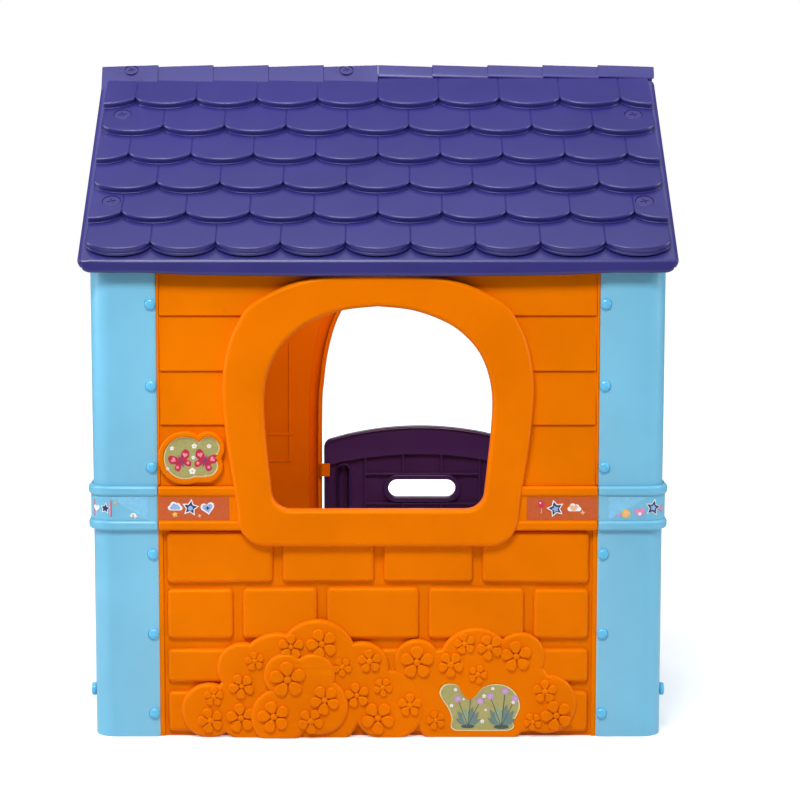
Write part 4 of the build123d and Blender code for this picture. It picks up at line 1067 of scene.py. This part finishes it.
roof_screw = cross_screw(0.0162, 0.003, 0.019, 0.004)
ridge_screw = cross_screw(0.0128, 0.003, 0.016, 0.004)
inner_screw = cross_screw(0.007, 0.003, 0.006, 0.004)
for screw, spots, lift, kind in ((roof_screw, screw_spots, -0.0004, "roof_screws"),
                                 (ridge_screw, ridge_spots, 0.003, "ridge_screws")):
    front_set = join([twin(screw, spot @ Matrix.Translation((0, 0, lift))) for spot in spots],
                     kind + "_front_set")
    dress_both(front_set, turn_back, kind + "_back_set", screw_plastic, "screw_plastic",
               kind + "_front", kind + "_back")
head_in = Matrix.Rotation(-pi / 2, 4, "Y")
right_set = join([twin(inner_screw, Matrix.Translation((0.5136, y, 0.848)) @ head_in)
                  for y in (-0.3, 0, 0.3)], "pediment_screws_right_set")
dress_both(right_set, turn_back, "pediment_screws_left_set", rivet_plastic, "rivet_plastic",
           "pediment_screws_right", "pediment_screws_left")
for screw in (roof_screw, ridge_screw, inner_screw):
    bpy.data.objects.remove(screw)

for pin_name, low, high, head_foot in (("hinge_pin_upper", 0.360, 0.4274, 0.4274),
                                       ("hinge_pin_lower", 0.0336, 0.134, 0.0306)):
    pieces = []
    for radius, foot, top in ((0.004, low, high), (0.007, head_foot, head_foot + 0.003)):
        shape = rod(radius, top - foot, (-hinge_x, hinge_y, (foot + top) / 2), vertices=36)
        pieces.append(soften(shape, 0.0007, 2))
    dress(join(pieces, pin_name + "_turned"), pin_plastic, "house", "pin_plastic", pin_name)

sideways = (0, pi / 2, 0)
cap_disc = soften(rod(0.012, 0.009, (0.5295, -0.355, 0.080), 48, sideways), 0.0032, 4)
plug_stem = soften(rod(0.0078, 0.011, (0.5205, -0.355, 0.080), 32, sideways), 0.0008, 2)
dress_both(join([cap_disc, plug_stem], "side_plug_right_cap"), across_house, "side_plug_left_cap",
           rivet_plastic, "rivet_plastic", "side_plug_right", "side_plug_left", True)

# ---- Printed films
# Glossy printed labels: one on each side of the belt, one round each front corner, one in the cloud
# boss and one in the bush. The pictures are plain stars, clouds, hearts, balloons and plants, each
# printed shape a thin layer on the film under it.
inks = {
    "belt_ground": (0.56, 0.092, 0.010), "corner_ground": (0.21, 0.55, 0.80),
    "white_ink": (0.86, 0.87, 0.90), "navy_ink": (0.02, 0.03, 0.12), "sky_ink": (0.30, 0.44, 0.72),
    "peach_ink": (0.85, 0.46, 0.24), "red_ink": (0.62, 0.02, 0.06), "pink_ink": (0.85, 0.25, 0.36),
    "sun_ink": (0.85, 0.50, 0.10), "lilac_ink": (0.48, 0.30, 0.62), "plum_ink": (0.22, 0.04, 0.16),
    "khaki_ink": (0.38, 0.36, 0.12), "cream_ink": (0.72, 0.70, 0.36),
    "crimson_ink": (0.50, 0.015, 0.05), "teal_ink": (0.13, 0.22, 0.20),
    "stem_ink": (0.05, 0.08, 0.07), "sage_ink": (0.26, 0.36, 0.22),
    "pink_lilac_ink": (0.62, 0.36, 0.62),
}
ink_finishes = {}


def ink(name):
    """A printed colour: a slightly uneven, glossy film."""
    if name not in ink_finishes:
        colour = inks[name]
        finish = bpy.data.materials.new(name)
        finish.use_nodes = True
        tree = finish.node_tree
        film = tree.nodes["Principled BSDF"]
        film.inputs["Coat Weight"].default_value = 0.15
        film.inputs["Coat Roughness"].default_value = 0.2
        place = node(tree, "TexCoord")
        mottle = node(tree, "TexNoise", {"Scale": 160, "Detail": 3})
        tree.links.new(place.outputs["Object"], mottle.inputs["Vector"])
        tone = tone_ramp(tree, 0.3, 0.7, [part * 0.9 for part in colour],
                         [min(1, part * 1.06) for part in colour])
        tree.links.new(mottle.outputs["Fac"], tone.inputs["Fac"])
        tree.links.new(tone.outputs["Color"], film.inputs["Base Color"])
        haze = node(tree, "MapRange", {"To Min": 0.30, "To Max": 0.42})
        tree.links.new(mottle.outputs["Fac"], haze.inputs["Value"])
        tree.links.new(haze.outputs["Result"], film.inputs["Roughness"])
        ink_finishes[name] = finish
    return ink_finishes[name]


def printed(outline, face, layer, name):
    """One printed shape on a film whose front is at face; each layer lies over the one before."""
    low = face + 0.00012 * layer
    piece = plate([outline], low - 0.0002, low + 0.00012, 0.00004, stand_up, 1)
    piece.data.materials.clear()
    piece.data.materials.append(ink(name))
    return piece


def printed_all(figures, face, first, step):
    """Every figure of a picture, each one a layer above the last."""
    return [printed(moved(shape, x, z, size, turn), face, first + index * step, name)
            for index, (shape, x, z, size, turn, name) in enumerate(figures)]


def moved(outline, x, z, size=1.0, turn=0.0):
    c, s = cos(radians(turn)), sin(radians(turn))
    return [(x + size * (a * c - b * s), z + size * (a * s + b * c)) for a, b in outline]


def round_dot(radius=1.0, count=20):
    return [(radius * cos(2 * pi * step / count), radius * sin(2 * pi * step / count))
            for step in range(count)]


def star(points=5, waist=0.5):
    return [((1 if step % 2 == 0 else waist) * sin(pi * step / points),
             (1 if step % 2 == 0 else waist) * cos(pi * step / points)) for step in range(2 * points)]


def heart():
    line = []
    for step in range(28):
        angle = 2 * pi * step / 28
        line.append((sin(angle) ** 3, (13 * cos(angle) - 5 * cos(2 * angle) - 2 * cos(3 * angle)
                                       - cos(4 * angle)) / 16))
    return line


def leaf(width=0.3):
    side = [(width * sin(pi * step / 10), step / 10) for step in range(11)]
    return side + [(-x, y) for x, y in reversed(side[1:-1])]


def cloud():
    line = []
    for x, y, radius, first, last in ((-0.62, -0.12, 0.36, 270, 95), (-0.22, 0.26, 0.44, 175, 40),
                                      (0.36, 0.16, 0.38, 115, 0), (0.70, -0.16, 0.32, 75, -90)):
        for step in range(8):
            angle = radians(first + (last - first) * step / 7)
            line.append((x + radius * cos(angle), y + radius * sin(angle)))
    return line


def blossom(x, z, size, count, spread, petal_size, heart_size):
    """Five white dots round a yellow one."""
    figures = []
    for turn in range(5):
        spot = radians(72 * turn)
        figures.append((round_dot(1, count), x + size * spread * sin(spot),
                        z + size * spread * cos(spot), size * petal_size, 0, "white_ink"))
    return figures + [(round_dot(1, count), x, z, size * heart_size, 0, "sun_ink")]


belt_face = 0.4053
film_low, film_high = 0.4077, 0.4503
spark, string = star(4, 0.4), [(0.2982, 0.4290), (0.2992, 0.4245), (0.2976, 0.4195),
                               (0.2982, 0.4195), (0.2998, 0.4245), (0.2988, 0.4290)]
left_figures = [
    (cloud(), -0.371, 0.432, 0.0135, 0, "white_ink"),
    (cloud(), -0.371, 0.4315, 0.0095, 0, "sky_ink"),
    (star(), -0.3715, 0.418, 0.0062, 12, "sun_ink"),
    (star(), -0.343, 0.4305, 0.0165, -8, "white_ink"),
    (star(), -0.343, 0.4305, 0.0125, -8, "navy_ink"),
    (round_dot(), -0.343, 0.4295, 0.0045, 0, "sky_ink"),
    (heart(), -0.3115, 0.4300, 0.0128, 10, "white_ink"),
    (heart(), -0.3115, 0.4300, 0.0094, 10, "sky_ink"),
    (spark, -0.3115, 0.4300, 0.0048, 0, "navy_ink"),
    (spark, -0.3265, 0.4155, 0.0042, 20, "peach_ink"),
]
right_figures = [
    (round_dot(), 0.2985, 0.4370, 0.0068, 0, "red_ink"),
    ([(0, 0), (0.28, -0.4), (-0.28, -0.4)], 0.2985, 0.4312, 0.0050, 0, "red_ink"),
    (round_dot(), 0.2968, 0.4394, 0.0017, 0, "white_ink"),
    (string, 0, 0, 1, 0, "white_ink"),
    (star(), 0.3245, 0.4290, 0.0170, 15, "white_ink"),
    (star(), 0.3245, 0.4290, 0.0132, 15, "navy_ink"),
    (star(), 0.3245, 0.4280, 0.0072, 15, "sky_ink"),
    (cloud(), 0.3590, 0.4300, 0.0125, 0, "white_ink"),
    (heart(), 0.3580, 0.4300, 0.0075, 0, "peach_ink"),
    (spark, 0.3745, 0.4215, 0.0052, 10, "peach_ink"),
]
films = []
for node_name, near, far, figures in (("belt_print_left", -0.4011, -0.272, left_figures),
                                      ("belt_print_right", 0.272, 0.4011, right_figures)):
    ground = printed(rectangle(near, far, film_low, film_high), belt_face, 0, "belt_ground")
    films.append(join([ground] + printed_all(figures, belt_face, 1, 0.4), node_name + "_film"))
left_belt, right_belt = films


def round_corner(piece):
    """Wraps a flat print round the wall's corner."""
    bend = wall_x - corner_round
    for corner in piece.data.vertices:
        out = -corner.co.y - wall_y
        along = corner.co.x - bend
        if along > 0:
            radius = corner_round + 0.005
            angle = along / radius
            reach = corner_round + out
            if angle > pi / 2:
                corner.co.y = -(wall_y - corner_round) + (along - radius * pi / 2)
                corner.co.x = bend + reach
            else:
                corner.co.x = bend + reach * sin(angle)
                corner.co.y = -(wall_y - corner_round) - reach * cos(angle)
    return piece


film_line = [(0.4215 + (0.586 - 0.4215) * step / 40, film_low) for step in range(41)]
film_line += [(x, film_high) for x, z in reversed(film_line)]
card = rectangle(-1.25, 1.25, -1, 1)
card_inside = rectangle(-1.1, 1.1, -0.86, 0.86)
for side, node_name, figures in (
        (1, "corner_print_right", [
            (round_dot(), 0.4375, 0.4165, 0.0030, 0, "lilac_ink"),
            (leaf(0.25), 0.4395, 0.4165, 0.0090, -80, "lilac_ink"),
            (round_dot(), 0.4535, 0.4195, 0.0078, 0, "sun_ink"),
            (star(8, 0.7), 0.4535, 0.4195, 0.0092, 10, "sun_ink"),
            (round_dot(), 0.4535, 0.4195, 0.0048, 0, "peach_ink"),
            (heart(), 0.4790, 0.4220, 0.0108, 5, "lilac_ink"),
            (heart(), 0.4790, 0.4225, 0.0070, 5, "pink_ink"),
            (round_dot(), 0.4790, 0.4190, 0.0030, 0, "white_ink"),
            (star(), 0.5040, 0.4300, 0.0165, -12, "white_ink"),
            (star(), 0.5040, 0.4300, 0.0135, -12, "navy_ink"),
            (star(), 0.5040, 0.4300, 0.0066, -12, "sky_ink"),
            (spark, 0.5235, 0.4270, 0.0080, 0, "pink_ink")]),
        (-1, "corner_print_left", [
            (spark, 0.4440, 0.4150, 0.0052, 10, "white_ink"),
            (cloud(), 0.4480, 0.4165, 0.0060, 0, "white_ink"),
            (round_dot(), 0.4480, 0.4160, 0.0022, 0, "peach_ink"),
            (card, 0.5060, 0.4290, 0.0150, 0, "red_ink"),
            (card_inside, 0.5060, 0.4290, 0.0150, 0, "pink_ink"),
            (star(), 0.4990, 0.4290, 0.0105, 8, "white_ink"),
            (star(), 0.4990, 0.4290, 0.0082, 8, "navy_ink"),
            (heart(), 0.5180, 0.4290, 0.0072, 0, "white_ink"),
            (spark, 0.4800, 0.4400, 0.0045, 10, "sun_ink")])):
    ground = printed(film_line, belt_face, 0, "corner_ground")
    strip = round_corner(join([ground] + printed_all(figures, belt_face, 1, 0.4),
                              node_name + "_film"))
    if side < 0:
        mirrored_strip = twin(strip, across_house, True)
        bpy.data.objects.remove(strip)
        strip = mirrored_strip
        strip.name = node_name + "_film"
    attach(strip, "house")
    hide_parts(node_name)

# The cloud boss: two plain butterflies among small blossoms.
boss_floor = boss_face - 0.0044
art = []
for shrink, layer, name in ((0.0100, 0, "cream_ink"), (0.0122, 1, "khaki_ink")):
    ground = cloud_boss(shrink, boss_floor - 0.0004, boss_floor + 0.00012 * (layer + 1), 0.00004)
    ground.data.materials.clear()
    ground.data.materials.append(ink(name))
    art.append(ground)
wing = smooth([(0.0, 0.0), (0.20, 0.55), (0.75, 0.95), (1.10, 0.70), (1.00, 0.15), (0.62, -0.08),
               (0.90, -0.45), (0.62, -0.85), (0.22, -0.55), (0.0, -0.10)], 4)[:-1]
wing_marks = [(wing, "crimson_ink"), (moved(heart(), 0.62, 0.42, 0.26, -35), "pink_ink"),
              (moved(round_dot(), 0.56, -0.42, 0.15), "pink_ink")]
body = moved(leaf(0.09), 0, -0.7, 1.4)
figures = []
for x, z, size, turn in ((-0.3595, 0.5160, 0.0185, 24), (-0.3160, 0.5165, 0.0190, -20)):
    for side in (1, -1):
        for shape, name in wing_marks:
            figures.append(([(side * a, b) for a, b in shape], x, z, size, turn, name))
    figures.append((body, x, z, size, turn, "plum_ink"))
for x, z, size in ((-0.3350, 0.5440, 0.0048), (-0.3390, 0.4980, 0.0062), (-0.3080, 0.5440, 0.0042),
                   (-0.3760, 0.5400, 0.0040), (-0.3370, 0.5230, 0.0036), (-0.3840, 0.5020, 0.0034)):
    figures += blossom(x, z, size, 12, 0.6, 0.42, 0.3)
emblem = join(art + printed_all(figures, boss_floor, 2, 0.08), "emblem_print_film")

# The picture in the bush: two leafy plants with lilac heads on a khaki ground.
picture_floor = right_face - 0.0015
middle = (0.193, 0.056)
art = []
for layer, across, up, name in ((0, 0.978, 0.966, "cream_ink"), (1, 0.945, 0.925, "khaki_ink")):
    ground = [(middle[0] + (x - middle[0]) * across, middle[1] + (z - middle[1]) * up)
              for x, z in picture_line]
    art.append(printed(ground, picture_floor, layer, name))
figures = []
for x, z, size in ((0.166, 0.0215, 1.0), (0.228, 0.0205, 1.12)):
    for turn, reach in ((-62, 0.027), (58, 0.027), (-38, 0.034), (34, 0.034), (-14, 0.038),
                        (12, 0.036)):
        figures.append((leaf(0.17), x, z, reach * size, turn,
                        "teal_ink" if turn % 4 else "sage_ink"))
    figures.append(([(1.5 * a, 0.42 * b) for a, b in round_dot()], x, z - 0.001, 0.0085 * size, 0,
                    "stem_ink"))
    for turn, reach in ((-26, 0.052), (-6, 0.060), (20, 0.054)):
        figures.append((rectangle(-0.012, 0.012, 0, 1), x, z, reach * size, turn, "stem_ink"))
        tip = moved([(0, 1)], x, z, reach * size, turn)[0]
        for petal_turn in range(8):
            spot = radians(45 * petal_turn)
            figures.append((round_dot(1, 10), tip[0] + 0.0046 * sin(spot),
                            tip[1] + 0.0046 * cos(spot), 0.0021, 0, "lilac_ink"))
        figures.append((round_dot(1, 12), tip[0], tip[1], 0.0032, 0, "pink_lilac_ink"))
for x, z, size in ((0.143, 0.090, 0.0030), (0.196, 0.078, 0.0034), (0.193, 0.030, 0.0034),
                   (0.250, 0.066, 0.003), (0.212, 0.092, 0.0030), (0.136, 0.060, 0.0032),
                   (0.199, 0.052, 0.0022), (0.158, 0.072, 0.002)):
    figures += blossom(x, z, size, 10, 0.7, 0.45, 0.35)
garden = join(art + printed_all(figures, picture_floor, 2, 0.03), "garden_print_film")
for piece, slot, node_name in ((left_belt, "orange_film", "belt_print_left"),
                          (right_belt, "orange_film", "belt_print_right"),
                          (emblem, "khaki_film", "emblem_print"), (garden, "khaki_film",
                                                                   "garden_print")):
    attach(piece, "house")
    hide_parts(node_name)
